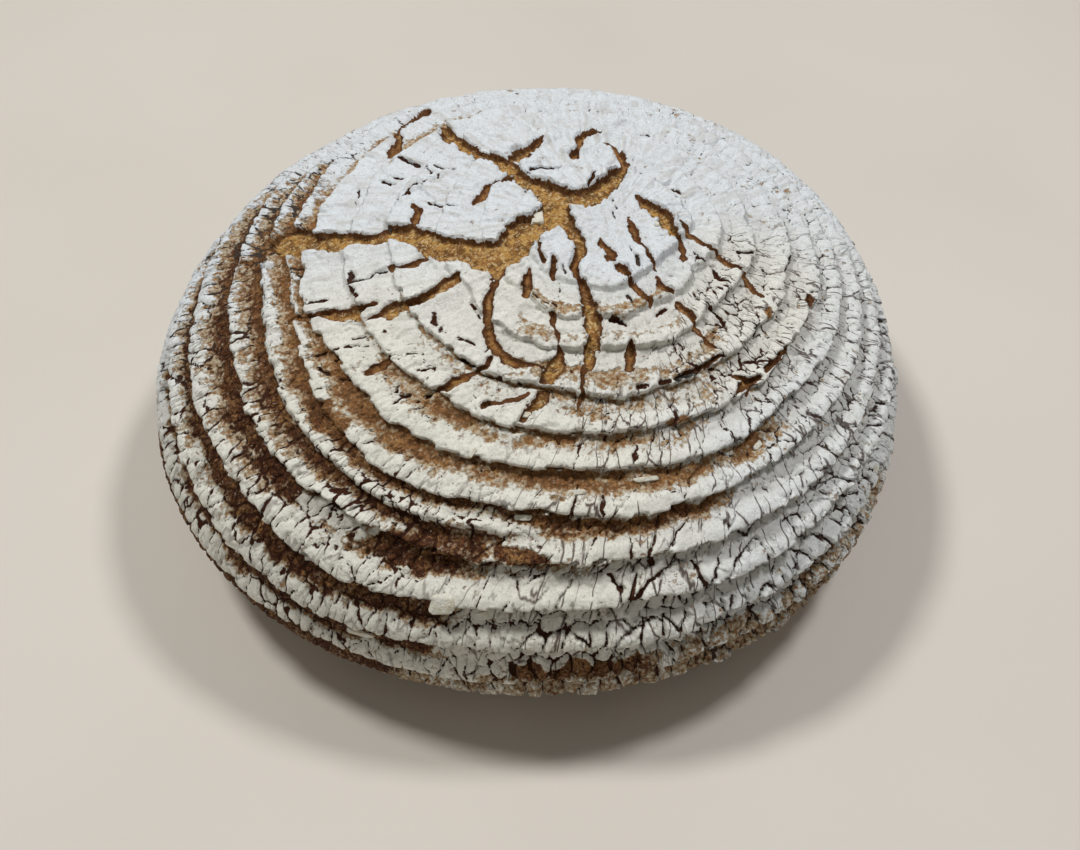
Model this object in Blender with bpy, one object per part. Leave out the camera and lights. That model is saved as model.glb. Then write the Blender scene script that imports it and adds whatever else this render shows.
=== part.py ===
"""Round sourdough loaf, proofed in a coiled cane basket and baked until its floured crown tore open.

The loaf is one closed solid. A bare dome is covered with arc-length coordinates, like a map laid over it:
a distance from the ring centre, along the crust, and a bearing (0 is right, 90 back, 180 left, 270 front).
The coil ridges, the torn crown and the bare hollow are heights above the dome, given in those coordinates.
Lengths are in metres, +Z is up, the flat underside lies at z = 0 and the loaf's box is centred on the origin.
"""

import bmesh
import bpy
import numpy as np

MM = 0.001

# The bare dome
LOAF_RADIUS = 110 * MM
LOAF_HEIGHT = 90 * MM
WAIST_HEIGHT = 32 * MM
BASE_RADIUS = 88 * MM
SHOULDER_POWER = 2.1
PLAN_BULGES = ((2, 1.4 * MM, 45), (3, 1.5 * MM, 314), (4, 0.9 * MM, 39))  # lobes, size, bearing
RING_CENTRE = (21 * MM, -2 * MM)
CENTRE_FADE = 3

# The coils: each ridge's outer edge at the front, and how much further in it lies at the left
COILS = (
    (24.5, 0),
    (34, 0),
    (44.5, 0),
    (57, 0),
    (67.5, 0),
    (77.5, 0),
    (89, 8),
    (101.5, 5),
    (113.5, 6),
    (126, 9),
    (139, 14),
    (150, 17),
)
LEFT_SQUEEZE = (190, 38)  # bearing and spread of that shift
RIGHT_SQUEEZE = (320, 32, 5.5)  # bearing, spread and mm by which all the ridges lie further in
FRONT_LEFT_SPREAD = (242, 22, 3)  # and further out
WOBBLES = ((7, 0.5, 1.9), (11, 0.35, -2.3))  # waves round a ridge, mm, turn from one ridge to the next
SPLIT_COIL = 7  # this coil divides in two
SPLIT_BEARINGS = (110, 150, 255, 266)  # where the second half fades in and out
INNER_RIDGE = 1.0 * MM
OUTER_RIDGE = 2.3 * MM
RIDGE_GROWTH = (20 * MM, 85 * MM)
VALLEY_END = 0.12  # shares of a coil's width
CREST_START = 0.7
CREST_END = 0.93

# The smooth floured plates left of the crown, which hide most of the ridges' height
PLATE_BEARING = 165
PLATE_SPREAD = 48
PLATE_REACH = (76 * MM, 86 * MM)
PLATE_SMOOTHING = 0.75

# The tears, as lines of (bearing, mm from the ring centre, half width in mm)
TEARS = (
    ((178, 83, 4.0), (181, 70, 3.2), (183, 57, 2.6), (191, 45, 3.4), (203, 33, 4.2)),
    ((203, 33, 4.2), (195, 24, 4.0), (170, 15, 3.4)),
    ((128, 68, 0.9), (137, 54, 2.0), (140, 38, 2.1), (148, 26, 2.4), (165, 15, 3.0)),
    ((89, 40, 0.9), (73, 28, 1.4), (84, 17, 1.9), (110, 13.5, 2.4), (140, 20, 3.2)),
    ((42, 13.5, 0.8), (22, 18, 2.0), (5, 18.5, 2.6), (352, 21, 1.2), (344, 24, 0.6)),
    ((185, 13, 2.2), (218, 11.5, 1.9), (240, 19, 1.2), (256, 30, 1.9)),
    ((256, 30, 1.9), (261, 37, 2.4), (258, 48, 1.8), (260, 60, 0.8)),
    ((218, 37, 1.3), (229, 45, 1.6), (237, 56, 1.3)),
    ((207, 44, 0.9), (210, 53, 1.4), (208, 62, 1.3), (202, 75, 1.3), (199, 82, 1.0)),
    ((146, 68, 0.8), (135, 79, 1.8), (122, 86, 1.0)),
    ((358, 21.5, 1.0), (351, 30.5, 1.0), (343, 44.5, 0.8)),
)
TEAR_DEPTH = 2.4 * MM
TEAR_WALL = 1.0 * MM
LIP_HEIGHT = 0.8 * MM
LIP_REACH = 4 * MM

# The bare hollow at the front left, where the crust lost its flour
HOLLOW_BEARING = 255
HOLLOW_DISTANCE = 105 * MM
HOLLOW_SIZE = (16 * MM, 7 * MM)  # round the loaf, and down it
HOLLOW_DEPTH = 1.5 * MM

# The mesh
COLUMNS = 97
CROWN_ROWS = (0.12, 0.22, 0.32, 0.42, 0.51, 0.6, 0.69, 0.78, 0.86, 0.95)
COIL_ROWS = (0.06, 0.34, 0.7, 0.94)
LOWER_ROWS = 2
PROFILE_STEPS = 600
SLOPE_STEP = 0.2 * MM

CRUST_COLOUR = (0.52, 0.47, 0.40, 1.0)
CRUST_ROUGHNESS = 0.9


def smooth_step(low, high, value):
    """0 below low, 1 above high, and a smooth ramp between."""
    share = np.clip((value - low) / (high - low), 0, 1)
    return share * share * (3 - 2 * share)


def bearing_bump(bearing, centre, spread):
    """1 at a bearing, falling away on both sides over spread degrees."""
    gap = (bearing - centre + 180) % 360 - 180
    return np.exp(-((gap / spread) ** 2))


def meridian():
    """Distance along the crust, and the radius there, from the crown to the edge of the flat underside."""
    turn = np.linspace(0, np.pi / 2, PROFILE_STEPS)
    upper_radius = LOAF_RADIUS * np.sin(turn)
    upper_height = WAIST_HEIGHT + (LOAF_HEIGHT - WAIST_HEIGHT) * np.cos(turn) ** (2 / SHOULDER_POWER)
    lower_radius = BASE_RADIUS + (LOAF_RADIUS - BASE_RADIUS) * np.cos(turn[1:])
    lower_height = WAIST_HEIGHT * (1 - np.sin(turn[1:]))
    radius = np.concatenate([upper_radius, lower_radius])
    height = np.concatenate([upper_height, lower_height])
    steps = np.hypot(np.diff(radius), np.diff(height))
    distance = np.concatenate([[0], np.cumsum(steps)])
    return distance, radius, height, distance[PROFILE_STEPS - 1]


DISTANCE, RADIUS, HEIGHT, WAIST_DISTANCE = meridian()
BASE_DISTANCE = DISTANCE[-1]


def plan_scale(bearing):
    """How much wider than a circle the loaf is at each bearing."""
    scale = np.ones_like(bearing)
    for lobes, size, centre in PLAN_BULGES:
        scale += size / LOAF_RADIUS * np.cos(lobes * (bearing - np.radians(centre)))
    return scale


def dome(along, across):
    """Points of the bare dome. along and across are the map's flat coordinates, centred on the rings."""
    distance = np.hypot(along, across)
    bearing = np.arctan2(across, along)
    radius = np.interp(distance, DISTANCE, RADIUS)
    above_waist = distance < WAIST_DISTANCE
    lean = np.where(above_waist, 1 - (radius / LOAF_RADIUS) ** CENTRE_FADE, 0)
    x = radius * np.cos(bearing) + RING_CENTRE[0] * lean
    y = radius * np.sin(bearing) + RING_CENTRE[1] * lean
    share = np.clip(np.hypot(x, y) / LOAF_RADIUS, 0, 1)
    upper = WAIST_HEIGHT + (LOAF_HEIGHT - WAIST_HEIGHT) * (1 - share**2) ** (1 / SHOULDER_POWER)
    lower = np.interp(distance, DISTANCE, HEIGHT)
    scale = plan_scale(np.arctan2(y, x))
    return np.stack([x * scale, y * scale, np.where(above_waist, upper, lower)], axis=-1)


def dome_normals(along, across):
    """Outward directions of the bare dome."""
    slope_along = dome(along + SLOPE_STEP, across) - dome(along - SLOPE_STEP, across)
    slope_across = dome(along, across + SLOPE_STEP) - dome(along, across - SLOPE_STEP)
    normal = np.cross(slope_along, slope_across)
    return normal / np.linalg.norm(normal, axis=-1, keepdims=True)


def coil_edge(coil, bearing):
    """Distance of one ridge's outer edge from the ring centre, at each bearing in degrees."""
    front, squeeze = COILS[coil]
    edge = front - squeeze * bearing_bump(bearing, *LEFT_SQUEEZE)
    edge = edge - RIGHT_SQUEEZE[2] * bearing_bump(bearing, *RIGHT_SQUEEZE[:2])
    edge = edge + FRONT_LEFT_SPREAD[2] * bearing_bump(bearing, *FRONT_LEFT_SPREAD[:2])
    for waves, size, turn in WOBBLES:
        edge = edge + size * np.sin(waves * np.radians(bearing) + turn * coil)
    return edge * MM


def ridge(share):
    """A ridge's height, 0 to 1, across its coil: a valley, a slow rise, a crest and a sharp outer edge."""
    return smooth_step(VALLEY_END, CREST_START, share) * (1 - smooth_step(CREST_END, 1, share))


def coil_height(distance, bearing):
    """Height of the coil ridges, 0 to 1, below which lie the valleys."""
    height = np.zeros_like(distance)
    inner = np.zeros_like(distance)
    rise, full, fade, end = SPLIT_BEARINGS
    split = smooth_step(rise, full, bearing) * (1 - smooth_step(fade, end, bearing))
    for coil in range(len(COILS)):
        outer = coil_edge(coil, bearing)
        share = np.clip((distance - inner) / (outer - inner), 0, 1)
        profile = ridge(share)
        if coil == SPLIT_COIL:
            profile = (1 - split) * profile + split * ridge(2 * share % 1)
        height = np.where((distance >= inner) & (distance < outer), profile, height)
        inner = outer
    return height


def tear_gap(along, across):
    """Distance outside the nearest tear's edge, negative inside the tear."""
    gap = np.full_like(along, LOAF_RADIUS)
    for line in TEARS:
        bearing, distance, half_width = np.array(line, float).T
        line_along = distance * MM * np.cos(np.radians(bearing))
        line_across = distance * MM * np.sin(np.radians(bearing))
        for i in range(len(line) - 1):
            run_along = line_along[i + 1] - line_along[i]
            run_across = line_across[i + 1] - line_across[i]
            reach = (along - line_along[i]) * run_along + (across - line_across[i]) * run_across
            share = np.clip(reach / (run_along**2 + run_across**2), 0, 1)
            off_along = along - line_along[i] - share * run_along
            off_across = across - line_across[i] - share * run_across
            width = (half_width[i] + share * (half_width[i + 1] - half_width[i])) * MM
            gap = np.minimum(gap, np.hypot(off_along, off_across) - width)
    return gap


def relief(along, across):
    """Height of the crust above the bare dome."""
    distance = np.hypot(along, across)
    bearing = np.degrees(np.arctan2(across, along)) % 360
    size = INNER_RIDGE + (OUTER_RIDGE - INNER_RIDGE) * smooth_step(*RIDGE_GROWTH, distance)
    plate = bearing_bump(bearing, PLATE_BEARING, PLATE_SPREAD) * (1 - smooth_step(*PLATE_REACH, distance))
    coils = coil_height(distance, bearing) * (1 - PLATE_SMOOTHING * plate) + PLATE_SMOOTHING / 2 * plate
    gap = tear_gap(along, across)
    torn = 1 - smooth_step(-TEAR_WALL, TEAR_WALL, gap)
    lip = LIP_HEIGHT * np.exp(-np.clip(gap, 0, None) / LIP_REACH) * smooth_step(-TEAR_WALL, TEAR_WALL, gap)
    round_hollow = ((bearing - HOLLOW_BEARING) * np.radians(1) * distance / HOLLOW_SIZE[0]) ** 2
    down_hollow = ((distance - HOLLOW_DISTANCE) / HOLLOW_SIZE[1]) ** 2
    hollow = HOLLOW_DEPTH * np.exp(-round_hollow - down_hollow)
    return (size * (coils - 0.5)) * (1 - torn) - TEAR_DEPTH * torn + lip - hollow


def row_distances(bearing):
    """Distances of the mesh's rows from the ring centre, which follow the ridges at every bearing."""
    rows = []
    inner = np.zeros_like(bearing)
    for coil in range(len(COILS)):
        outer = coil_edge(coil, bearing)
        shares = COIL_ROWS
        if coil == 0:
            shares = CROWN_ROWS
        if coil == SPLIT_COIL:
            shares = [share / 2 for share in COIL_ROWS] + [(1 + share) / 2 for share in COIL_ROWS]
        rows += [inner + share * (outer - inner) for share in shares]
        inner = outer
    for step in range(1, LOWER_ROWS + 1):
        rows.append(inner + (BASE_DISTANCE - inner) * step / (LOWER_ROWS + 1))
    return np.array(rows)


def crust_points(distance, bearing):
    """Points of the crust, with its relief, at distances from the ring centre and bearings in degrees."""
    along = distance * np.cos(np.radians(bearing))
    across = distance * np.sin(np.radians(bearing))
    return dome(along, across) + dome_normals(along, across) * relief(along, across)[..., None]


def loaf_rows():
    """The loaf's points row by row, from below the crown down to the edge of the flat underside."""
    bearing = np.arange(COLUMNS) * 360 / COLUMNS
    crust = crust_points(row_distances(bearing), bearing)
    rim = dome(BASE_DISTANCE * np.cos(np.radians(bearing)), BASE_DISTANCE * np.sin(np.radians(bearing)))
    rim[:, 2] = 0
    return np.concatenate([crust, rim[None]])


def build_loaf():
    """Joins the rows into one closed body, with its box centred on the origin."""
    rows = loaf_rows()
    crown = crust_points(np.zeros(1), np.zeros(1))[0]
    spread = rows.reshape(-1, 3)
    shift = (spread.min(axis=0) + spread.max(axis=0)) / 2
    shift[2] = 0
    shape = bmesh.new()
    top = shape.verts.new(crown - shift)
    rings = [[shape.verts.new(point - shift) for point in row] for row in rows]
    for i in range(COLUMNS):
        following = (i + 1) % COLUMNS
        shape.faces.new((top, rings[0][i], rings[0][following]))
        for upper, lower in zip(rings, rings[1:]):
            shape.faces.new((upper[i], lower[i], lower[following], upper[following]))
    shape.faces.new(reversed(rings[-1]))
    bmesh.ops.triangulate(shape, faces=shape.faces)
    mesh = bpy.data.meshes.new("loaf")
    shape.to_mesh(mesh)
    shape.free()
    mesh.shade_smooth()
    return mesh


def crust_material():
    """Floured crust: matt, and a mean of white flour and brown crust."""
    material = bpy.data.materials.new("crust")
    material.use_nodes = True
    shader = material.node_tree.nodes["Principled BSDF"]
    shader.inputs["Base Color"].default_value = CRUST_COLOUR
    shader.inputs["Roughness"].default_value = CRUST_ROUGHNESS
    shader.inputs["Metallic"].default_value = 0.0
    return material


def main():
    for item in list(bpy.data.objects):
        bpy.data.objects.remove(item, do_unlink=True)
    loaf = bpy.data.objects.new("loaf", build_loaf())
    loaf.data.materials.append(crust_material())
    bpy.context.scene.collection.objects.link(loaf)


main()
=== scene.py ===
"""Dresses the sourdough loaf: its ridged crust, cracked flour coat and torn crown, at about 0.45 mm.

The crust is laid out on a map: a distance in mm from the ring centre, along the crust, and a bearing in
degrees (0 is right, 90 back, 180 left, 270 front). Every height and finish is a function of those two.
"""

import bmesh
import bpy
import numpy as np
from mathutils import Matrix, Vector


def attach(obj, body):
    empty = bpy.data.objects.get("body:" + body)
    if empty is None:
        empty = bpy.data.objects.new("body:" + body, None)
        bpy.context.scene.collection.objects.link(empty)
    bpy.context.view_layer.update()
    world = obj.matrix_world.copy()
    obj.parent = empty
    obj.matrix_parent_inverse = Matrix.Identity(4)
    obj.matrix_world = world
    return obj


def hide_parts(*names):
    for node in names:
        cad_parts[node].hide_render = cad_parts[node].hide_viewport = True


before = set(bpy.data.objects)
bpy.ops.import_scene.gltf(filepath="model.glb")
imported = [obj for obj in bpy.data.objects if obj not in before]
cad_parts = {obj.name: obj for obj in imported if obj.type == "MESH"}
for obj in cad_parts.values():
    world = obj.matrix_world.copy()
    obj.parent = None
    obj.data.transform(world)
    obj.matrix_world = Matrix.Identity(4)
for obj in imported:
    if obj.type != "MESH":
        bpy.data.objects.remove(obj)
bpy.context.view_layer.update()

MM = 0.001

# ---- the bare dome, as the solid has it
LOAF_RADIUS = 110
LOAF_HEIGHT = 90
WAIST_HEIGHT = 32
BASE_RADIUS = 88
SHOULDER_POWER = 2.1
# Bulges of the plan: how many round the loaf, mm, and the bearing of one
PLAN_BULGES = ((2, 1.4, 45), (3, 1.5, 314), (4, 0.9, 39))
RING_CENTRE = (21, -2)
CENTRE_FADE = 3
PROFILE_STEPS = 2000
SLOPE_STEP = 0.1

# ---- the coils, as the solid has them
# Each coil's outer edge, mm from the ring centre, and how many mm nearer it is on the left
COILS = (
    (24.5, 0),
    (34, 0),
    (44.5, 0),
    (57, 0),
    (67.5, 0),
    (77.5, 0),
    (89, 8),
    (101.5, 5),
    (113.5, 6),
    (126, 9),
    (139, 14),
    (150, 17),
)
# Where the coils lie closer or wider: a bearing, how far that reaches in degrees, and mm
LEFT_SQUEEZE = (190, 38)
RIGHT_SQUEEZE = (320, 32, 5.5)
FRONT_LEFT_SPREAD = (242, 22, 3)
# Wobbles of the coils: waves round the loaf, mm, and how far they turn from coil to coil
WOBBLES = ((7, 0.5, 1.9), (11, 0.35, -2.3))
SPLIT_COIL = 7
SPLIT_BEARINGS = (110, 150, 255, 266)
INNER_RIDGE = 2.1
OUTER_RIDGE = 3.1
RIM_RIDGE = 0.9
LEFT_FLATTER = 0.7
RIDGE_GROWTH = (20, 85)
RIM_START = (92, 112)
VALLEY_END = 0.08
SLOPE_SHARE = 0.55
CREST = (0.5, 0.8)
PLATE_BEARING = 165
PLATE_SPREAD = 48
PLATE_REACH = (76, 86)
PLATE_SMOOTHING = 0.5
PLATE_ZONE_GAIN = 1.4
HOLLOW_BEARING = 255
HOLLOW_DISTANCE = 105
HOLLOW_SIZE = (16, 7)
HOLLOW_DEPTH = 1.5

# ---- tears: (bearing, mm from the ring centre, half width)
WIDE_TEARS = (
    # the broad left arm and the field about the ring centre
    ((177.6, 84.1, 4.5), (180.3, 80, 4.6), (181.2, 76.7, 4.2), (181.9, 72.6, 3.9), (182.7, 68.5, 3.2),
     (183.5, 64.4, 2.5), (183.5, 60.6, 1.8), (182, 58.5, 1.1), (183.5, 56.5, 2.6), (184.2, 53, 3.4),
     (187.4, 49.4, 2.9), (191.1, 46, 3.8), (195.2, 42.4, 3.9)),
    ((193.8, 44.8, 3.8), (196.8, 40.8, 4.2), (200.3, 37.5, 4.3), (204.5, 34.5, 5), (206.5, 31.5, 5.4),
     (203.5, 27.5, 5), (198.7, 25, 5), (191.3, 21.5, 4.6), (185.8, 17.8, 3.8), (172, 14.5, 4.2)),
    ((208, 36.5, 3.6), (212.5, 35.5, 2.6), (216, 37, 1.2)),
    ((155, 17.5, 2.4), (167.2, 14.5, 3.6), (186, 12.6, 3)),
    # the arms at the back left
    ((160, 17, 3), (148, 21.5, 2.8), (144.4, 27.8, 2.3), (141.9, 32.1, 2.3), (138.9, 35.3, 2.4)),
    ((138.3, 36.5, 2.3), (137.5, 39.4, 2), (138.5, 42.8, 1.9), (138.5, 47.1, 1.9), (137.6, 52.5, 2.2),
     (134.7, 59.5, 2.1), (132, 65.5, 1.9), (130.7, 69.2, 1.2)),
    ((132.2, 38.1, 1.8), (126.3, 38.4, 1.7), (120, 39.7, 1.3), (113.5, 41.9, 0.8), (108.9, 43.4, 0.5)),
    ((170.8, 53, 0.6), (174.2, 51, 0.8), (178.5, 51.2, 0.9)),
    ((168.5, 37, 0.7), (163.2, 35.8, 1), (156.8, 35.8, 1.1), (152.2, 34, 1.1), (148.3, 32.5, 1.4)),
    ((124, 85.3, 1.2), (128, 82.8, 2.3), (132.5, 81.2, 2.2), (136.8, 78.2, 1.5), (141.2, 74, 1),
     (145.2, 71.8, 1.2), (147.5, 70.5, 0.6)),
    # the arc behind the ring centre
    ((145, 22.5, 3.2), (146, 17.5, 3.4), (139, 13.5, 3.2), (130.3, 11.2, 3.2), (114.3, 10.9, 3.3),
     (96.1, 12.6, 3), (85, 17.2, 2.5), (79.3, 21.7, 2), (77.2, 26.9, 1.1)),
    ((77.2, 26.9, 1.2), (82.2, 32.2, 1), (85.6, 35.2, 1), (88, 37.6, 0.8)),
    ((106.2, 29.9, 1.1), (101.3, 34.1, 0.8), (98.4, 40, 1.1), (94.5, 42.4, 1.4), (90.8, 42.9, 0.9)),
    # the crescent right of it, and the tears that run on from it
    ((54.9, 14.9, 0.6), (43.1, 14.3, 1.2), (30.8, 14.6, 1.8), (20, 16.1, 2.1), (8, 17, 2.4),
     (358, 17.6, 2.3), (350, 18.6, 1.6), (347, 20.4, 0.9), (343.3, 21.4, 0.8), (335.9, 22.6, 0.8),
     (330.1, 24.2, 0.7)),
    ((7.5, 21.5, 0.3), (358.2, 22.5, 0.7), (354, 24.7, 0.9), (350, 27.5, 1), (347.2, 30, 1.1),
     (346.2, 33, 0.8), (343.2, 35.8, 0.9), (341.5, 39.2, 1), (339.8, 42.2, 0.9), (337.2, 45, 1),
     (336.2, 47.8, 0.8)),
    ((346.8, 62.8, 0.7), (344.2, 63, 1.3), (341.5, 63.3, 1), (338, 63.2, 0.7)),
    ((325.5, 61.5, 0.8), (322.5, 60.8, 0.5), (319.8, 61, 0.8), (317, 61.2, 0.7), (314, 61.8, 0.5)),
    ((306, 58.2, 0.5), (308.2, 61.2, 1.5), (312, 62, 0.6)),
    ((308.2, 61.5, 1.3), (304.8, 61.8, 0.7), (303.5, 62.5, 0.3)),
    ((308, 61.8, 1.2), (307, 64.2, 0.4)),
    ((289.5, 53.5, 0.7), (292.2, 52.8, 0.7), (295.5, 52.5, 0.7), (300, 51.8, 0.6), (303, 51.5, 0.6),
     (305.8, 51.5, 0.3)),
    # the front arms
    ((198.8, 11.8, 1.3), (208.8, 11, 1.9), (225.5, 12, 1.8), (236.2, 14, 1.4), (240.8, 18, 1),
     (244.5, 21.5, 1), (249, 24.2, 0.9), (253.2, 25.5, 1.1), (256.8, 28.2, 1.3), (259.5, 31.2, 1.6),
     (261.8, 34.2, 2), (263, 37.2, 2.1)),
    ((256, 26.8, 1.2), (259.5, 30.5, 1.6), (262.2, 35, 2), (264.5, 39, 1.7), (264.5, 43.2, 1.9),
     (264.5, 46.8, 1.7), (264.8, 49.2, 1.2)),
    ((263.2, 49.5, 0.5), (264, 53, 0.4), (264.5, 56.5, 0.5), (264.5, 60, 0.4), (264, 63, 0.3)),
    ((277.2, 41.2, 0.4), (277.5, 43.8, 1.4), (277.5, 46.8, 1.1), (276.5, 49.5, 1)),
    ((302.8, 33.2, 1.2), (303, 35.5, 1.2), (303.2, 37.8, 1.1), (303.2, 40.8, 1), (303.8, 43.2, 0.8),
     (304.2, 45.8, 0.6), (305, 47.8, 0.6), (305.5, 49, 0.2)),
    ((246.5, 37.5, 0.8), (248.5, 39.5, 0.7), (250.8, 41, 0.4), (253, 43.5, 0.3), (254.5, 46.2, 0.3),
     (255.8, 47.7, 0.9), (255.8, 49.8, 1.5), (255.8, 52.5, 2.1), (255.2, 55.2, 1.7), (254.5, 57, 0.7)),
    ((256, 60.2, 1.3), (256, 62.2, 1.8), (254.7, 64.8, 1.2), (254.5, 67.8, 0.6)),
    ((214.8, 34, 1), (217.8, 36.8, 0.6), (220, 39, 0.7), (222, 41.2, 1.1), (225.8, 44, 1.3), (229, 46, 1.2),
     (231, 48.5, 1.2), (232.8, 50.5, 1.3), (235.5, 52.5, 1.2), (239.5, 53.8, 1), (243.2, 54.5, 1.2),
     (246.2, 54.8, 1), (249.5, 54, 0.5), (252.8, 53, 0.3)),
    ((239, 56.2, 0.5), (240, 58.2, 0.6), (238.8, 60.2, 0.6), (237.5, 62.8, 0.9), (236.5, 64.8, 1.4),
     (235.8, 67.2, 1.3), (234.2, 69, 0.5)),
    ((245, 68, 0.5), (245.7, 66.5, 0.8), (248, 65.8, 0.4), (250.5, 63.5, 0.3), (252.2, 61, 0.4)),
    # the cracks under the left plates
    ((200.1, 81.5, 1.2), (201.9, 78.1, 0.9), (202.6, 75.7, 1.2), (203.9, 72.6, 1.4), (205.3, 69.4, 1.9),
     (206, 66.9, 1.9), (205.6, 64.6, 0.6)),
    ((209.2, 67.2, 0.6), (209.3, 64.4, 0.9), (209.8, 61.7, 2), (209.6, 59, 1.7), (210.9, 56.6, 1.4),
     (211.4, 53.8, 1.8), (210.6, 51.6, 1.3), (210.3, 49.1, 1.5), (208.9, 45.7, 1.5), (207.5, 43.4, 0.6)),
    ((220.8, 75, 0.4), (221, 73.5, 1), (221.2, 72, 1), (221.2, 70.5, 0.8), (221.2, 68.8, 0.5)),
    ((196.2, 56.7, 1), (197.2, 54.5, 0.7), (197.6, 52.2, 0.6), (197.2, 50.1, 0.5), (197.5, 48.5, 0.2)),
    # short gaps between the plates in front of the ring centre
    ((209.2, 20.8, 0.3), (215.8, 22.8, 0.6), (222.5, 24, 0.7), (226.2, 25, 0.3)),
    ((225.8, 21.5, 0.3), (230.5, 23.2, 0.8), (234.8, 26, 0.8), (237, 27.5, 0.3)),
    ((224, 28.8, 0.3), (227.2, 31, 0.9), (230.8, 33.8, 1.3), (233, 36.2, 0.8)),
    ((253.8, 8, 0.4), (260.2, 9.8, 0.9), (269.5, 12, 1), (274.5, 13, 0.7)),
    ((274.5, 17, 0.5), (277.8, 19, 1.2), (281.5, 20.8, 0.8)),
    ((302, 23, 0.3), (301.2, 25.2, 0.8), (301.8, 28, 0.9), (303.2, 29.5, 0.6)),
    ((283.8, 22.8, 1), (286.2, 24.5, 0.9), (287.8, 26.5, 0.7), (288.8, 29.2, 1), (289.2, 31, 0.5)),
    ((277.5, 17, 0.4), (279.8, 19, 1.1), (282, 20.5, 0.8)),
    ((17, 6.8, 0.3), (356.8, 7.2, 0.9), (335.5, 8.5, 0.9), (320, 10.5, 0.8), (317, 12, 0.4),
     (315, 14.5, 0.4), (310.8, 16.5, 0.5), (306.5, 19.2, 0.5), (305.8, 21, 0.3)),
    ((268, 14, 0.9), (272.2, 15, 0.6)),
)
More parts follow.
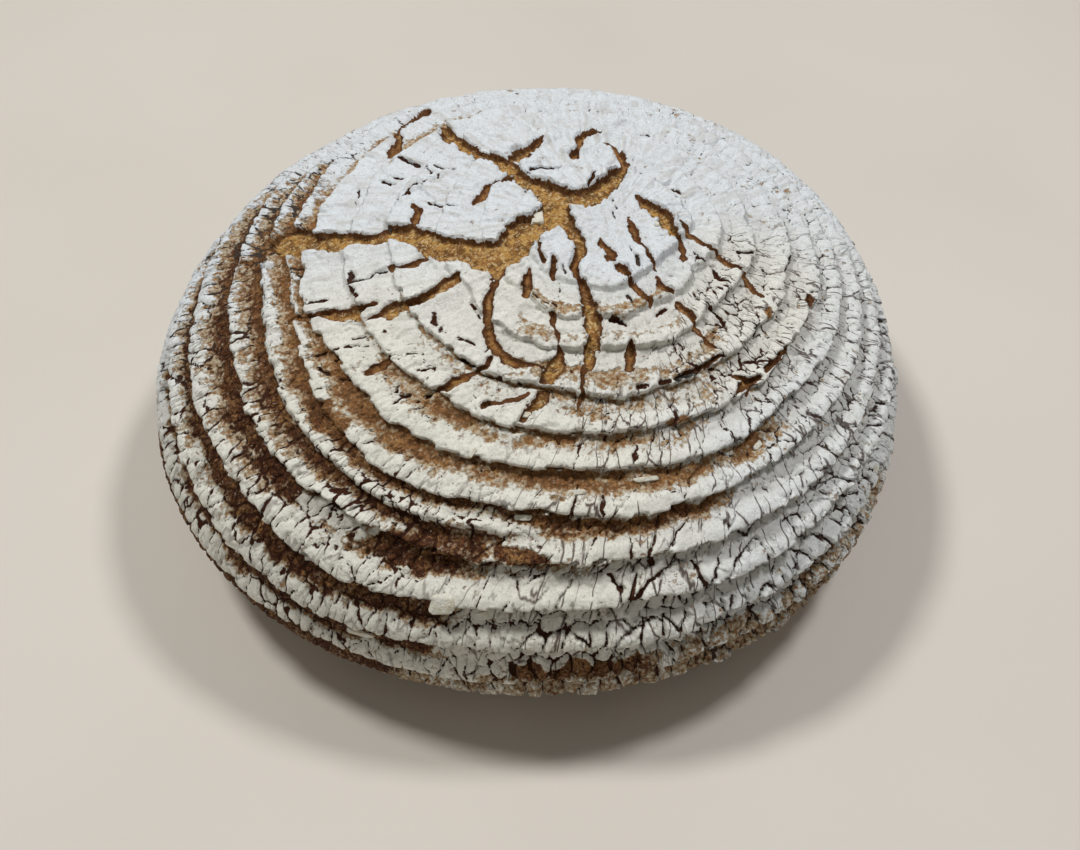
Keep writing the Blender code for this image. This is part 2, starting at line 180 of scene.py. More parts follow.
THIN_CRACKS = (
    # over the left plates
    ((213, 74, 0.7), (214, 72.2, 0.7), (215, 70.5, 0.3)),
    ((212.2, 77, 0.3), (212.2, 76, 0.6), (212.8, 75.2, 0.5)),
    ((211.8, 72, 0.3), (212, 71, 0.4), (212.5, 69.8, 0.4)),
    ((210.5, 81.8, 0.2), (211, 79.2, 0.3), (211, 78, 0.5), (212, 76.8, 0.2)),
    ((212.8, 79.2, 0.3), (213.5, 77.8, 0.3), (213.8, 76.5, 0.2)),
    ((221.2, 68.8, 0.5), (222.2, 66.8, 0.5), (223.2, 65.5, 0.3), (224.8, 64, 0.2)),
    ((197, 67, 0.7), (197.8, 64.5, 0.7), (197.8, 62.5, 0.7), (196.8, 60.8, 1), (196.5, 59, 0.7)),
    ((193, 66.2, 0.4), (195.2, 65.8, 1), (196.8, 66.8, 0.8)),
    ((198.2, 67.2, 0.4), (200.2, 66.2, 0.8), (202, 66, 0.4)),
    ((196.2, 81.2, 0.4), (197.8, 78.8, 0.3), (198.5, 76, 0.4), (199, 73.7, 0.4)),
    ((187.8, 80.7, 0.3), (189.8, 79, 0.4), (191.2, 77, 0.3)),
    ((218, 55, 0.2), (220.3, 56, 0.2), (223.2, 56.5, 0.2), (225.5, 56.8, 0.3)),
    ((213.5, 65.8, 0.1), (216.2, 65.5, 0.2)),
    ((213.8, 81.5, 0.2), (215.5, 81.5, 0.2), (217, 81.2, 0.4), (219.2, 78.5, 0.2)),
    ((229.8, 75.5, 0.5), (230, 73.8, 0.5), (231.3, 71.8, 0.2)),
    ((233, 73.5, 0.5), (233.5, 71, 0.4)),
    ((227.5, 72.2, 0.2), (228.2, 73.8, 0.3)),
    ((228, 67.2, 0.3), (229.5, 65.5, 0.3), (230.8, 65.5, 0.2)),
    ((227, 56.5, 0.3), (229.2, 55.8, 0.4), (231.3, 55.2, 0.2)),
    ((148.8, 66, 1.1), (149.2, 63, 1.3), (150.5, 59.3, 0.6)),
    ((160.2, 65, 0.7), (161, 62.2, 0.7), (160, 60.2, 0.3)),
    ((167.5, 55.5, 0.4), (163.8, 54.5, 0.5), (161.2, 53.5, 0.4)),
    ((150.5, 54.5, 0.5), (151.2, 51.5, 0.7), (150, 48.5, 0.4)),
    ((152.5, 51.5, 0.3), (155.5, 51, 0.4), (159.2, 51.8, 0.4)),
    ((169, 49.5, 0.4), (171.2, 46.5, 0.4), (172, 42.3, 0.4), (170.8, 37.8, 0.5)),
    # behind the ring centre
    ((75, 27, 0.7), (66.8, 24.5, 0.6), (59.5, 24.8, 0.6), (50.5, 25.5, 0.8), (41.7, 26.8, 0.8),
     (36.5, 27.5, 0.5)),
    ((89.8, 44, 0.8), (85.2, 46.5, 1), (78.5, 47.2, 0.8), (71.5, 49.5, 0.5)),
    ((134.5, 29.5, 1), (128.8, 28.2, 0.9), (123.2, 26, 0.8), (117.3, 25.5, 0.6)),
    ((100.2, 19.8, 0.4), (104.2, 17, 0.7), (111.8, 14.8, 0.7)),
    # in front of the ring centre
    ((236.8, 22.2, 0.3), (241, 24.5, 0.2)),
    ((242.2, 28.5, 0.4), (244.8, 31.5, 0.4)),
    ((235.3, 35, 0.4), (241, 35.2, 0.3), (246, 34.8, 0.3)),
    ((267.8, 14.8, 0.8), (272.8, 15, 0.7)),
    ((280, 26.8, 0.3), (280.8, 29.2, 0.5), (281.2, 31, 0.3)),
    ((301, 10.8, 0.4), (296.8, 12.8, 0.4)),
    ((298.5, 13.5, 0.3), (296.8, 16.2, 0.5), (292.2, 18.8, 0.4)),
    ((67.2, 4.5, 0.3), (43.5, 3.2, 0.5), (14.3, 3, 0.3)),
    ((80.2, 8.8, 0.3), (62, 6.8, 0.4)),
    ((236, 54, 0.5), (236.8, 56.2, 0.4)),
    ((239.5, 60.8, 0.3), (242, 60, 0.5), (245, 59.5, 0.5)),
    ((248.5, 59.2, 0.3), (250.2, 59.2, 0.5)),
    ((230, 76.5, 0.5), (229.8, 74, 0.6), (231, 73, 0.3)),
    ((233, 73.2, 0.5), (233.8, 71.2, 0.6)),
    ((220.3, 46.8, 0.3), (223.5, 47.5, 0.3), (227, 48, 0.3)),
    ((227.5, 56, 0.4), (230, 55.5, 0.6), (233, 55.2, 0.3)),
    ((217.8, 54.8, 0.3), (220, 56.5, 0.2), (223.8, 56, 0.3), (227.5, 56, 0.3)),
    ((233, 59.5, 0.5), (236, 59.8, 0.7), (237.5, 59.5, 0.4)),
    ((228.5, 66.8, 0.4), (230, 65.2, 0.4)),
    ((270, 34.5, 0.9), (273.8, 34.8, 0.8), (277.2, 36, 0.5)),
    ((290.2, 34.2, 0.4), (295.2, 33.2, 0.5)),
    ((284.5, 53.5, 0.4), (286.2, 53.5, 0.7), (287.5, 53.5, 0.3)),
    ((278.2, 54.2, 0.5), (280, 54, 0.7), (281.5, 54, 0.4)),
    ((290.5, 42.2, 0.3), (288.5, 43.8, 0.3), (288.2, 45.2, 0.2)),
    ((297.5, 44, 0.3), (295.5, 45.5, 0.2)),
    # right of the ring centre
    ((327.8, 24.5, 0.4), (325.8, 26, 0.4), (324, 28, 0.4)),
    ((341.5, 24.5, 0.4), (338.8, 26, 0.7), (336.2, 27.5, 0.7), (335.5, 29, 0.6)),
    ((337, 31, 0.5), (334.5, 32.8, 0.7), (331.5, 35, 0.7), (331.2, 38, 0.5)),
    ((314.5, 32.5, 0.4), (314.2, 34.8, 0.5), (314.5, 38, 0.8), (315.2, 40.5, 0.5), (315, 43.5, 0.5),
     (314.2, 46.2, 0.6)),
    ((326, 36.2, 0.4), (325.5, 39.2, 0.5), (325.2, 42.8, 0.4), (324, 44.2, 0.4)),
    ((326, 43.2, 0.2), (330.2, 44.2, 0.3), (332, 45.5, 0.2)),
    ((353.8, 37.5, 0.4), (353.2, 39.2, 0.7), (352.8, 40.8, 0.9), (354.8, 43, 0.5)),
    ((350.2, 45.8, 0.5), (348.8, 47.5, 0.6), (347.8, 49.2, 0.4)),
    ((9, 56, 0.5), (6.2, 56.8, 0.5), (1.8, 56, 0.7), (355.8, 54.5, 0.6), (350.5, 53.5, 0.6),
     (347.5, 52.8, 0.3)),
    ((3.3, 67.2, 1), (0.8, 67.2, 0.8)),
    ((321, 50, 0.4), (322.5, 51, 1.1), (321.2, 51.8, 0.6)),
    ((310, 55, 0.3), (312.8, 57, 0.3), (317, 60, 0.2)),
    ((304.5, 56, 0.3), (301.2, 56.8, 0.2), (298, 55.2, 0.1)),
    ((158, 64.5, 0.4), (157.5, 61, 0.4)),
    ((151, 57, 0.3), (154, 53, 0.3), (160, 53.5, 0.25)),
    ((163, 57, 0.25), (168, 58, 0.4)),
    ((163, 71, 0.25), (169, 69, 0.3)),
    ((187, 81, 0.4), (188, 77, 0.35)),
)

# ---- how tears and cracks are cut
NOTCH_SIZE = 2.2
NOTCH_FRAY = 1.3
CHIP_SIZE = 1.1
CHIP_FRAY = 0.6
FRAY_LIMITS = (0.4, 0.8)
EDGE_BENDS = ((5, 0.5), (1.4, 0.35))
LINE_REACH = 6
TEAR_DEPTH = 1.9
TEAR_START_DEPTH = 0.7
TEAR_DEEPENING = 0.75
TEAR_WALL = 0.45
LIP_HEIGHT = 0.8
LIP_REACH = 4
LIP_FULL_WIDTH = 2.5
CRACK_NARROWING = 0.45
CRACK_FRAY = 0.45
CRACK_WALL = (-0.25, 0.35)
CRACK_CUT = (0.5, 1.3)
FOLD_POINTS = 0.8

# ---- where flour lies
# Spots where the crust is bare: (bearing, mm from the ring centre, half size round the loaf and down it)
BARE_SPOTS = (
    (253, 101, 9, 4.6),
    (249, 106, 14, 4.2),
    (263, 100.5, 9, 1.6),
    (287, 64.5, 3, 1.0),
    (222, 88, 8, 3.5),
    (226, 81.5, 4.5, 1.8),
    (179, 90, 7, 4),
    (256, 61, 2.4, 1.0),
    (330, 51, 1.4, 1.4),
    (262, 70.5, 5, 1.0),
    (317, 126, 1.2, 4),
)
# Spots where flour lies thick: the same
FLOUR_SPOTS = (
    (236, 105, 13, 2.8),
    (262, 94.5, 6, 1.4),
    (252, 114.8, 2.6, 2.6),
    (265, 104.6, 5, 0.8),
    (228, 122, 5, 2.4),
    (262, 131, 10, 8),
)

# Bands where the crust is bare: (coil, from bearing, to bearing, from and to a share of the coil, how bare)
BARE_BANDS = (
    (1, 228, 300, 0.60, 0.95, 0.50),
    (2, 238, 302, 0.50, 0.80, 0.50),
    (3, 243, 312, 0.42, 0.84, 0.72),
    (4, 256, 310, 0.00, 0.17, 1.00),
    (4, 262, 300, 0.17, 0.72, 0.48),
    (4, 222, 250, 0.05, 0.40, 0.40),
    (5, 220, 250, 0.00, 0.52, 0.85),
    (5, 245, 294, 0.10, 0.50, 0.72),
    (5, 258, 294, 0.00, 0.12, 0.95),
    (6, 160, 226, 0.00, 0.68, 0.68),
    (6, 165, 228, 0.00, 0.42, 1.00),
    (6, 216, 256, 0.02, 0.56, 0.95),
    (6, 250, 313, 0.02, 0.52, 1.00),
    (7, 150, 226, 0.00, 0.68, 0.68),
    (7, 150, 256, 0.00, 0.46, 1.00),
    (7, 258, 296, 0.02, 0.42, 1.00),
    (8, 150, 226, 0.00, 0.68, 0.70),
    (8, 150, 258, 0.00, 0.48, 1.00),
    (8, 258, 273, 0.00, 0.22, 0.85),
    (9, 150, 226, 0.00, 0.62, 0.66),
    (9, 150, 257, 0.00, 0.56, 1.00),
    (10, 165, 261, 0.00, 0.55, 1.00),
    (10, 264, 287, 0.58, 0.92, 1.00),
    (10, 285, 335, 0.55, 0.95, 0.45),
    (11, 150, 252, 0.05, 1.00, 1.00),
    (11, 252, 335, 0.08, 1.00, 0.48),
    (5, 60, 150, 0.02, 0.40, 0.60),
    (6, 50, 160, 0.02, 0.40, 0.70),
    (7, 40, 145, 0.02, 0.36, 0.65),
    (8, 60, 150, 0.02, 0.40, 0.80),
    (9, 60, 150, 0.02, 0.40, 0.80),
    (10, 60, 165, 0.02, 0.50, 0.90),
    (11, 60, 150, 0.05, 0.90, 0.90),
)
CRISP_COILS = 8
CRISP_AMOUNT = 0.9
BAND_SOFT_ENDS = 5
BAND_SHARP_EDGE = 0.04
BAND_CRISP_EDGE = 0.1
BAND_SOFT_EDGE = 0.24
BAND_WAVES = ((6, 0.1), (2, 0.07))
BLOTCH_SIZE = 7
BLOTCH_MIDDLE = 0.7
BLOTCH_LIMITS = (0.5, 1.05)
STEADY_START = (74, 90)
STEADY_SIDE = (120, 215, 20)
# The foot under each crest, left bare and dark: partly bare crust, partly painted shade under the crest
SHADED_FOOT = (0, 0.1, 0.03)
SHADED_FOOT_START = (45, 60)
SHADED_FOOT_BARE = 0.6
LEFT_SHADED_FOOT_BARER = 0.3
RIGHT_SHADED_FOOT_LESS = 0.6
SPOT_NOTCH = 0.5
SPOT_WAVES = (3, 0.3)
SPOT_SOFT = 0.3
PLATE_FLOUR = 0.35
CHIP_FLOUR = 0.3
UNDER_RIM = (146, 156)
UNDER_FLOUR = 0.45
UNDER_WAVES = (9, 0.2)
COAT_HEIGHT = 0.35
COAT_START = (0.4, 0.6)
COAT_WAVES = (1.4, 0.2)
BARE_GRAIN_START = (0.3, 0.6)

# ---- sides of the loaf: from and to a bearing, and how soft their ends are; starts and ends in mm
LEFT_SIDE = (120, 267, 1)
LEFT_FLANK = (150, 262, 15)
LEFT_FLANK_START = (80, 95)
FRONT_LEFT = (185, 262, 12)
FRONT_LEFT_END = (84, 96)
CROWN_FRONT = (225, 360, 10)
CROWN_FRONT_START = (8, 20)
RIGHT_SIDE = (-70, 55, 15)
RIGHT_HALF = (-90, 60, 20)
BEHIND = (10, 150, 25)
LOW_START = (94, 112)

# ---- the fine relief
EDGE_RUN = 1.2
OVERHANG = 0.9
OVERHANG_START = (20, 60)
OVERHANG_END = (150, 156)
OVERHANG_SHARE = (0.5, 0.9)
JAG_SIZES = ((4, 0.45), (1.5, 0.3))
JAG_START = (15, 30)
BLOCK_SIZE = 3.4
BLOCK_JAG = 1.1
RELIEF_MIDDLE = 0.6
RELIEF_DROP = 0.2
SKIRT_HEIGHT = 0.35
SKIRT_MIDDLE = 164
PLATE_JITTER = 0.8
PLATE_LEAN = 0.3
PLATE_WANDER = ((1.9, 0.7), (0.9, 0.4))
FAR_AWAY = 50
LEAST_APART = 0.001
RIGHT_PLATES = (4, 2, 2)
LEFT_PLATES = (3.3, 2, 4)
FRONT_BARS = (7.5, 1, 1)
BARS_SIDE = (252, 306, 1)
BARS_REACH = (64, 118)
BARS_SHARE = 0.35
BARS_BOLDNESS = 1.3
PLATE_STEP = 0.35
PLATE_TILT = 0.14
PILLOW_EDGE = 0.35
PILLOW_HEIGHT = 0.3
LOW_PILLOW = 0.8
LUMPS = ((2.2, 0.2), (1, 0.12))
LUMP_START = (0.1, 0.6)
BEHIND_SMOOTHER = 0.5
LEFT_SMOOTHER = 0.6
BRITTLE_START = (45, 62)
RIGHT_BRITTLE_LEAD = 22
CROWN_BRITTLE = 0.45
FRONT_LEFT_CALM = 0.55
BEHIND_CALM = 0.75
CRACK_DEPTH = 0.45
LOW_CRACK_DEEPER = 1.2
CRACK_SLOPE = 0.25
CRACK_HALF_WIDTH = (0.1, 0.3)
CRACK_CHANGE = 6
LOW_CRACK_WIDER = 0.16
BEHIND_CRACK_NARROWER = 0.12
LEFT_CRACK_WIDER = 0.08
CRAZE_WAVES = (0.8, 0.12)
CRAZE_SHADE = 0.13
CRAZE_LEAST = 0.12
NO_CRACK = 9
GROOVE_START = (0.1, 0.5)
CROWN_FLAKE = (9, 4.5)
CROWN_FLAKE_CIRCLE = 45
CROWN_FLAKE_WANDER = (7, 4)
CROWN_FLAKE_START = (12, 24)
CROWN_FLAKE_END = (76, 84)
CROWN_FLAKE_JOIN = 0.1
CROWN_FLAKE_WAVES = (5, 0.4)
CROWN_FLAKE_WALL = (-0.1, 0.35)
CROWN_FLAKE_DROP = 0.5
CROWN_FLAKE_STEP = 0.7
CROWN_FLAKE_TILT = 0.2
SWELLS = (6, 0.35)
STREAK_CIRCLE = 42
STREAK_LENGTH = 5
STREAK_HEIGHT = 0.4
GRANULES = (1.3, 0.35)
GRANULES_ON_FLOUR = 0.25
GRANULES_IN_TEARS = 0.6
UNDERSIDE_FADE = (9, 1)

# ---- how creamy the flour is, 0 to 1, partly its own tone and partly painted warm light
LEAST_CREAM = 0.1
# Creamy zones, partly painted warm light: a side, mm where the zone starts and where it ends, and how creamy
# it is
CREAM_ZONES = (
    ((195, 295, 22), (15, 75), (200, 210), 0.9),
    ((200, 365, 25), (17, 37), (58, 78), 0.75),
    ((270, 375, 25), (50, 70), (200, 210), 0.35),
)
# Where the crust starts and ends darkening towards the rim, in mm
RIMWARD_START = (75, 105)
BELT_RADIUS = 80
BELT_GAP = 17
TICK_LENGTH = 3.2

# Loose flakes: (bearing, mm from the ring centre, length, width, thickness, degrees from along the ridge)
FLAKES = (
    (176, 19.4, 5.4, 3.2, 1.8, 10),
    (358, 13.8, 1.5, 1.2, 0.9, 0),
    (256.5, 114.4, 6.2, 4.8, 2.0, 8),
    (249.5, 110.5, 2.4, 1.6, 1.0, 70),
    (225, 123.5, 6.4, 2.6, 1.2, 35),
    (228.5, 127, 4.6, 2.2, 1.2, 10),
    (246.5, 133, 7.5, 2.0, 1.2, 25),
    (281, 79.6, 6.0, 1.3, 0.9, 0),
    (304.5, 78.2, 3.4, 1.5, 0.9, 20),
    (269, 83.5, 4.4, 1.2, 0.8, 5),
    (262, 91.5, 4.4, 1.4, 0.9, 5),
    (249, 79, 3.0, 0.9, 0.7, 80),
    (254, 66.5, 3.6, 1.6, 0.9, 15),
    (310, 98, 2.6, 1.8, 1.0, 40),
    (262, 118, 3.0, 2.0, 1.0, 20),
    (236, 117, 2.6, 1.6, 0.9, 50),
    (218, 112, 2.2, 1.5, 0.8, 30),
    (330, 118, 2.8, 2.0, 1.1, 60),
)
FLAKE_SQUARENESS = 0.42
FLAKE_CHIPS = 0.3
FLAKE_CHIP_SIZE = 1.1
FLAKE_SINK = 0.2

# ---- the layout of the fine mesh
SPACING = 0.45
SECTORS = 6
FULL_COLUMNS = 235
CAP_COILS = 4
SKIRT_ROWS = 15
SKIRT_GROWTH = 0.45
UNDERSIDE_INSET = 1.2
HEART = (0, 0, 45)
HIDDEN_STRIP = 0.03
UNDERSIDE_STRIP = 0.12
UNDERSIDE_SEAM = 0.004
SEAM_TURN = 30
LEAST_LENGTH = 1e-9
FLAT_MARGIN = 0.1

# ---- colours
# Cool flour at the crown and cream flour towards the front: partly the flour's tone, partly painted cool and
# warm light
COOL_LIT_FLOUR = (0.76, 0.815, 0.865)
CREAM_FLOUR = (0.84, 0.825, 0.735)
# Grey flour: thin flour, and painted grey shade low in the valleys
GREY_FLOUR_AND_SHADE = (0.50, 0.47, 0.42)
FLAKE_CREAM = (0.80, 0.76, 0.62)
DUSTY_CRUST = (0.58, 0.51, 0.37)
FLOUR_SPECKS = (0.70, 0.64, 0.54)
LIGHT_CRUST = (0.38, 0.20, 0.075)
BROWN_CRUST = (0.21, 0.078, 0.024)
# Walls of the tears under the plate edges: dark crust and painted shade
WALL_CRUST_AND_SHADE = (0.10, 0.038, 0.014)
CRACK_SHADE = (0.06, 0.05, 0.042)
DARK_CRUST = (0.050, 0.017, 0.008)
GOLDEN_CRUMB = (0.50, 0.285, 0.08)
BROWN_CRUMB = (0.30, 0.14, 0.042)
PALE_CRUMB = (0.68, 0.56, 0.34)
DARK_CRUMB = (0.12, 0.052, 0.014)
FLOOR_COLOUR = (0.74, 0.69, 0.62)
FLOOR_SHADE = (0.71, 0.66, 0.59)

# ---- how the finish is laid
SHEEN = 0.12
# Clouds: size in mm, detail and roughness
FINE_CLOUDS = (0.55, 3, 0.65)
MIDDLING_CLOUDS = (2.2, 4, 0.6)
GRIT_CLOUDS = (0.8, 3, 0.65)
STRING_CLOUDS = (1.8, 5, 0.75)
LUMP_CLOUDS = (1.3, 4, 0.65)
FLAKE_CLOUDS = (1.6, 4, 0.6)
FLAKE_LUMPS = (0.8, 4, 0.65)
# Patches: the same, where they start to show, where they are full, and how strong they then are, if not 1
LIGHT_PATCHES = (5, 4, 0.6, 0.47, 0.6)
GOLDEN_PATCHES = (3.2, 2, 0.55, 0.6, 0.66, 0.8)
SPECKS = (0.5, 2, 0.6, 0.66, 0.7)
SPECK_FIELDS = (12, 3, 0.5, 0.4, 0.6, 0.5)
DARK_CRUMB_PATCHES = (3.2, 4, 0.7, 0.48, 0.58, 0.8)
PALE_STRINGS = (0.9, 3, 0.7, 0.54, 0.62, 0.7)
FLOOR_PATCHES = (160, 2, 0.55, 0.3, 0.7)
# Hairlines: size of their net in mm, from and to where they fade, the patches that have them, their strength
HAIRLINES = (
    (4.8, (0.006, 0.045), (5, 1, 0.55, 0.42, 0.5), 1),
    (2.4, (0.01, 0.05), (3.4, 1, 0.55, 0.54, 0.62), 0.6),
)
# Shifts: mm to the side, and the size in mm over which they change
ROUGH_SHIFT = (0.5, 1.6)
BELT_SHIFT = (0.6, 1.5)
SWIRL_SHIFT = (2.2, 3.5)
# Layers: where they start to show, where they are full, and how strong they then are, if not 1
FLOURED = (0.48, 0.74)
DUSTY = (0.12, 0.52, 0.85)
BROWN_GRIT = (0.28, 0.44)
LIGHT_GRIT = (0.35, 0.6)
DUST_GRIT = (0.22, 0.46)
THICK_FLOUR = (0.34, 0.58)
# Painted grey shade low on each ridge, in the valleys
SHADED_VALLEY = (0.3, 1, 0.3)
GREY_STREAK = (0, 0.6, 0.45)
BRITTLE_LINES = (0.3, 0.9, 0.85)
WIDE_CRACK = (0.3, 0.9)
CRACK_EDGE = (0, 0.16)
GOLDEN_STRINGS = (0.42, 0.54)
NARROW_TEAR = (0, 1.3, 0.75)
# Painted shade with dark crust on the tear walls under the plate edges
SHADED_TEAR_SHORE = (-1, -0.2, 0.85)
TEAR_EDGE = (0.1, 0.2)
FLAKE_CREAM_PATCHES = (0.4, 0.6)
FLAKE_BROWN_PATCHES = (0.58, 0.66, 0.7)
# Sizes and strengths of the rest
GRANULE_SIZE = 1.25
GRANULE_MIDDLE = 0.42
COVER_GRANULES = 0.42
COVER_CLOUDS = 0.4
BROWN_GRANULES = 0.3
DUST_GRANULES = 0.25
CROWN_LIGHTER = 0.4
RIM_DARKER = 0.25
LEFT_DARKER = 0.3
LEAST_SPECKS = 0.35
THIN_GREY = 0.5
FINE_SHARE = 0.6
SHADED_VALLEY_LEAST = 0.3
LEAST_HAIRLINE = 0.05
LEFT_HAIRLINE = 0.5
BARE_HAIRLINE = 0.25
WARM_CRACKS = 1.3
CROWN_CRACKS = 2
CRACK_INSIDE = 0.1
CRACK_RAGGED = 0.35
NARROW_WIDTH = 2
SHORE_RAGGED = 0.3
SHORE_WAVES = 1.2
FLOUR_ROUGHNESS = 0.95
BARE_SMOOTHER = 0.33
BUMP_LUMPS = (0.7, 0.3)
BUMP_STRINGS = 0.5
BUMP_GRANULES = (0.15, 0.5)
BUMP_LAYERS = (0.9, 0.3, 0.4)
BUMP_HEIGHT = 0.7
BUMP_STRENGTH = 0.9
FLAKE_BUMP_HEIGHT = 0.6
FLOOR_ROUGHNESS = 0.6

# ---- room and camera, in metres and watts
FLOOR_SIZE = 6
FLOOR_DROP = -0.0002
ROOM_COLOUR = (0.96, 0.95, 0.92)
ROOM_STRENGTH = 0.14
LAMPS = (
    ("left_window", (-0.5, 0.22, 1.2), 0.22, 7.7, (1.0, 0.99, 0.97)),
    ("right_window", (0.5, 0.25, 1.2), 0.22, 6.6, (0.98, 0.98, 1.0)),
    ("bounce", (-0.3, -1.1, 0.7), 0.8, 0.85, (1.0, 0.94, 0.84)),
)
CAMERA_TARGET = (2.4, -0.3, 0)
CAMERA_DISTANCE = 395
CAMERA_RISE = 50
CAMERA_LENS = 40
CAMERA_NEAR = 0.01

# ---- how random values are drawn
SEED_STEP = 7919
SEED_START = 97
LOW_BITS = np.uint64(0xFFFFFFFF)
SCRAMBLES = ((np.uint64(0x9E3779B1), np.uint64(15)), (np.uint64(0x85EBCA77), np.uint64(13)))


# ---- helpers
def smooth_step(low, high, value):
    """0 below low, 1 above high, and a smooth ramp between."""
    share = np.clip((value - low) / (high - low), 0, 1)
    return share * share * (3 - 2 * share)


def turn_from(bearing, centre):
    """Degrees from a bearing, from -180 to 180."""
    return (bearing - centre + 180) % 360 - 180


def bearing_bump(bearing, centre, spread):
    return np.exp(-((turn_from(bearing, centre) / spread) ** 2))


def sector(bearing, start, end, soft):
    """1 between two bearings, counted anticlockwise, with soft ends."""
    middle = (start + end) / 2
    half = (end - start) / 2
    return 1 - smooth_step(half - soft, half + soft, np.abs(turn_from(bearing, middle)))


def band(distance, start, end, soft):
    """1 between two distances, with soft ends."""
    begun = smooth_step(start - soft, start + soft, distance)
    return begun * (1 - smooth_step(end - soft, end + soft, distance))


def scrambled(*numbers, seed):
    """A repeatable random value from 0 to 1 for each set of whole numbers."""
    mixed = np.full(np.shape(numbers[0]), seed * SEED_STEP + SEED_START, np.uint64)
    for number in numbers:
        mixed = mixed ^ (np.asarray(number).astype(np.int64).astype(np.uint64) & LOW_BITS)
        for factor, places in SCRAMBLES:
            mixed = (mixed * factor) & LOW_BITS
            mixed = mixed ^ (mixed >> places)
    return mixed.astype(float) / float(LOW_BITS)


def grain(points, size, seed):
    """Smooth random values from -1 to 1, which change over size mm."""
    place = points / size
    corner = np.floor(place)
    share = place - corner
    share = share * share * (3 - 2 * share)
    total = np.zeros(points.shape[:-1])
    for step in np.ndindex(2, 2, 2):
        weight = np.prod(np.where(step, share, 1 - share), axis=-1)
        cell = corner + step
        total += weight * scrambled(cell[..., 0], cell[..., 1], cell[..., 2], seed=seed)
    return total * 2 - 1


def rough_grain(points, size, seed):
    """Grain with half as much grain of half the size on top."""
    return (grain(points, size, seed) + grain(points, size / 2, seed + 1) / 2) / 1.5


def waves(points, layer, seed):
    """Grain of one layer: its size in mm, and how much it counts."""
    size, amount = layer
    return amount * grain(points, size, seed)


def layered(points, layers, seeds):
    return sum(waves(points, layer, seed) for layer, seed in zip(layers, seeds))


# ---- the dome
def meridian():
    turn = np.linspace(0, np.pi / 2, PROFILE_STEPS)
    upper_radius = LOAF_RADIUS * np.sin(turn)
    upper_height = WAIST_HEIGHT + (LOAF_HEIGHT - WAIST_HEIGHT) * np.cos(turn) ** (2 / SHOULDER_POWER)
    lower_radius = BASE_RADIUS + (LOAF_RADIUS - BASE_RADIUS) * np.cos(turn[1:])
    lower_height = WAIST_HEIGHT * (1 - np.sin(turn[1:]))
    radius = np.concatenate([upper_radius, lower_radius])
    height = np.concatenate([upper_height, lower_height])
    distance = np.concatenate([[0], np.cumsum(np.hypot(np.diff(radius), np.diff(height)))])
    return distance, radius, height, distance[PROFILE_STEPS - 1]


DISTANCE, RADIUS, HEIGHT, WAIST_DISTANCE = meridian()
BASE_DISTANCE = DISTANCE[-1]


def dome(along, across):
    """Points of the bare dome at flat map coordinates centred on the rings."""
    distance = np.hypot(along, across)
    bearing = np.arctan2(across, along)
    radius = np.interp(distance, DISTANCE, RADIUS)
    above_waist = distance < WAIST_DISTANCE
    lean = np.where(above_waist, 1 - (radius / LOAF_RADIUS) ** CENTRE_FADE, 0)
    x = radius * np.cos(bearing) + RING_CENTRE[0] * lean
    y = radius * np.sin(bearing) + RING_CENTRE[1] * lean
    share = np.clip(np.hypot(x, y) / LOAF_RADIUS, 0, 1)
    upper = WAIST_HEIGHT + (LOAF_HEIGHT - WAIST_HEIGHT) * (1 - share**2) ** (1 / SHOULDER_POWER)
    lower = np.interp(distance, DISTANCE, HEIGHT)
    plan_bearing = np.arctan2(y, x)
    scale = 1
    for lobes, size, centre in PLAN_BULGES:
        scale = scale + size / LOAF_RADIUS * np.cos(lobes * (plan_bearing - np.radians(centre)))
    return np.stack([x * scale, y * scale, np.where(above_waist, upper, lower)], axis=-1)


def dome_normals(along, across):
    slope_along = dome(along + SLOPE_STEP, across) - dome(along - SLOPE_STEP, across)
    slope_across = dome(along, across + SLOPE_STEP) - dome(along, across - SLOPE_STEP)
    normal = np.cross(slope_along, slope_across)
    return normal / np.linalg.norm(normal, axis=-1, keepdims=True)


def coil_edge(coil, bearing):
    front, squeeze = COILS[coil]
    edge = front - squeeze * bearing_bump(bearing, *LEFT_SQUEEZE)
    edge = edge - RIGHT_SQUEEZE[2] * bearing_bump(bearing, *RIGHT_SQUEEZE[:2])
    edge = edge + FRONT_LEFT_SPREAD[2] * bearing_bump(bearing, *FRONT_LEFT_SPREAD[:2])
    for waves, size, turn in WOBBLES:
        edge = edge + size * np.sin(waves * np.radians(bearing) + turn * coil)
    return edge


# ---- what lies on the dome
def coil_place(distance, bearing):
    """For each point: its coil, how far across that coil it lies from 0 to 1, and the coil's width there."""
    coil = np.full(distance.shape, len(COILS))
    inner = coil_edge(len(COILS) - 1, bearing)
    width = BASE_DISTANCE - inner
    for number in reversed(range(len(COILS))):
        outer = inner if number == len(COILS) - 1 else coil_edge(number, bearing)
        start = coil_edge(number - 1, bearing) if number else np.zeros_like(bearing)
        inside = (distance >= start) & (distance < outer)
        coil = np.where(inside, number, coil)
        inner = np.where(inside, start, inner)
        width = np.where(inside, outer - start, width)
    return coil, np.clip((distance - inner) / width, 0, 1), width


def ridge(share, width):
    """A ridge's height, 0 to 1, across its coil: a long slope up to a crest with a rounded outer edge."""
    past_edge = np.clip(1 - (1 - share) * width / EDGE_RUN, 0, 1)
    slope = np.clip((share - VALLEY_END) / (1 - VALLEY_END), 0, 1)
    rise = SLOPE_SHARE * slope + (1 - SLOPE_SHARE) * smooth_step(*CREST, share)
    return rise * np.sqrt(1 - past_edge**2)


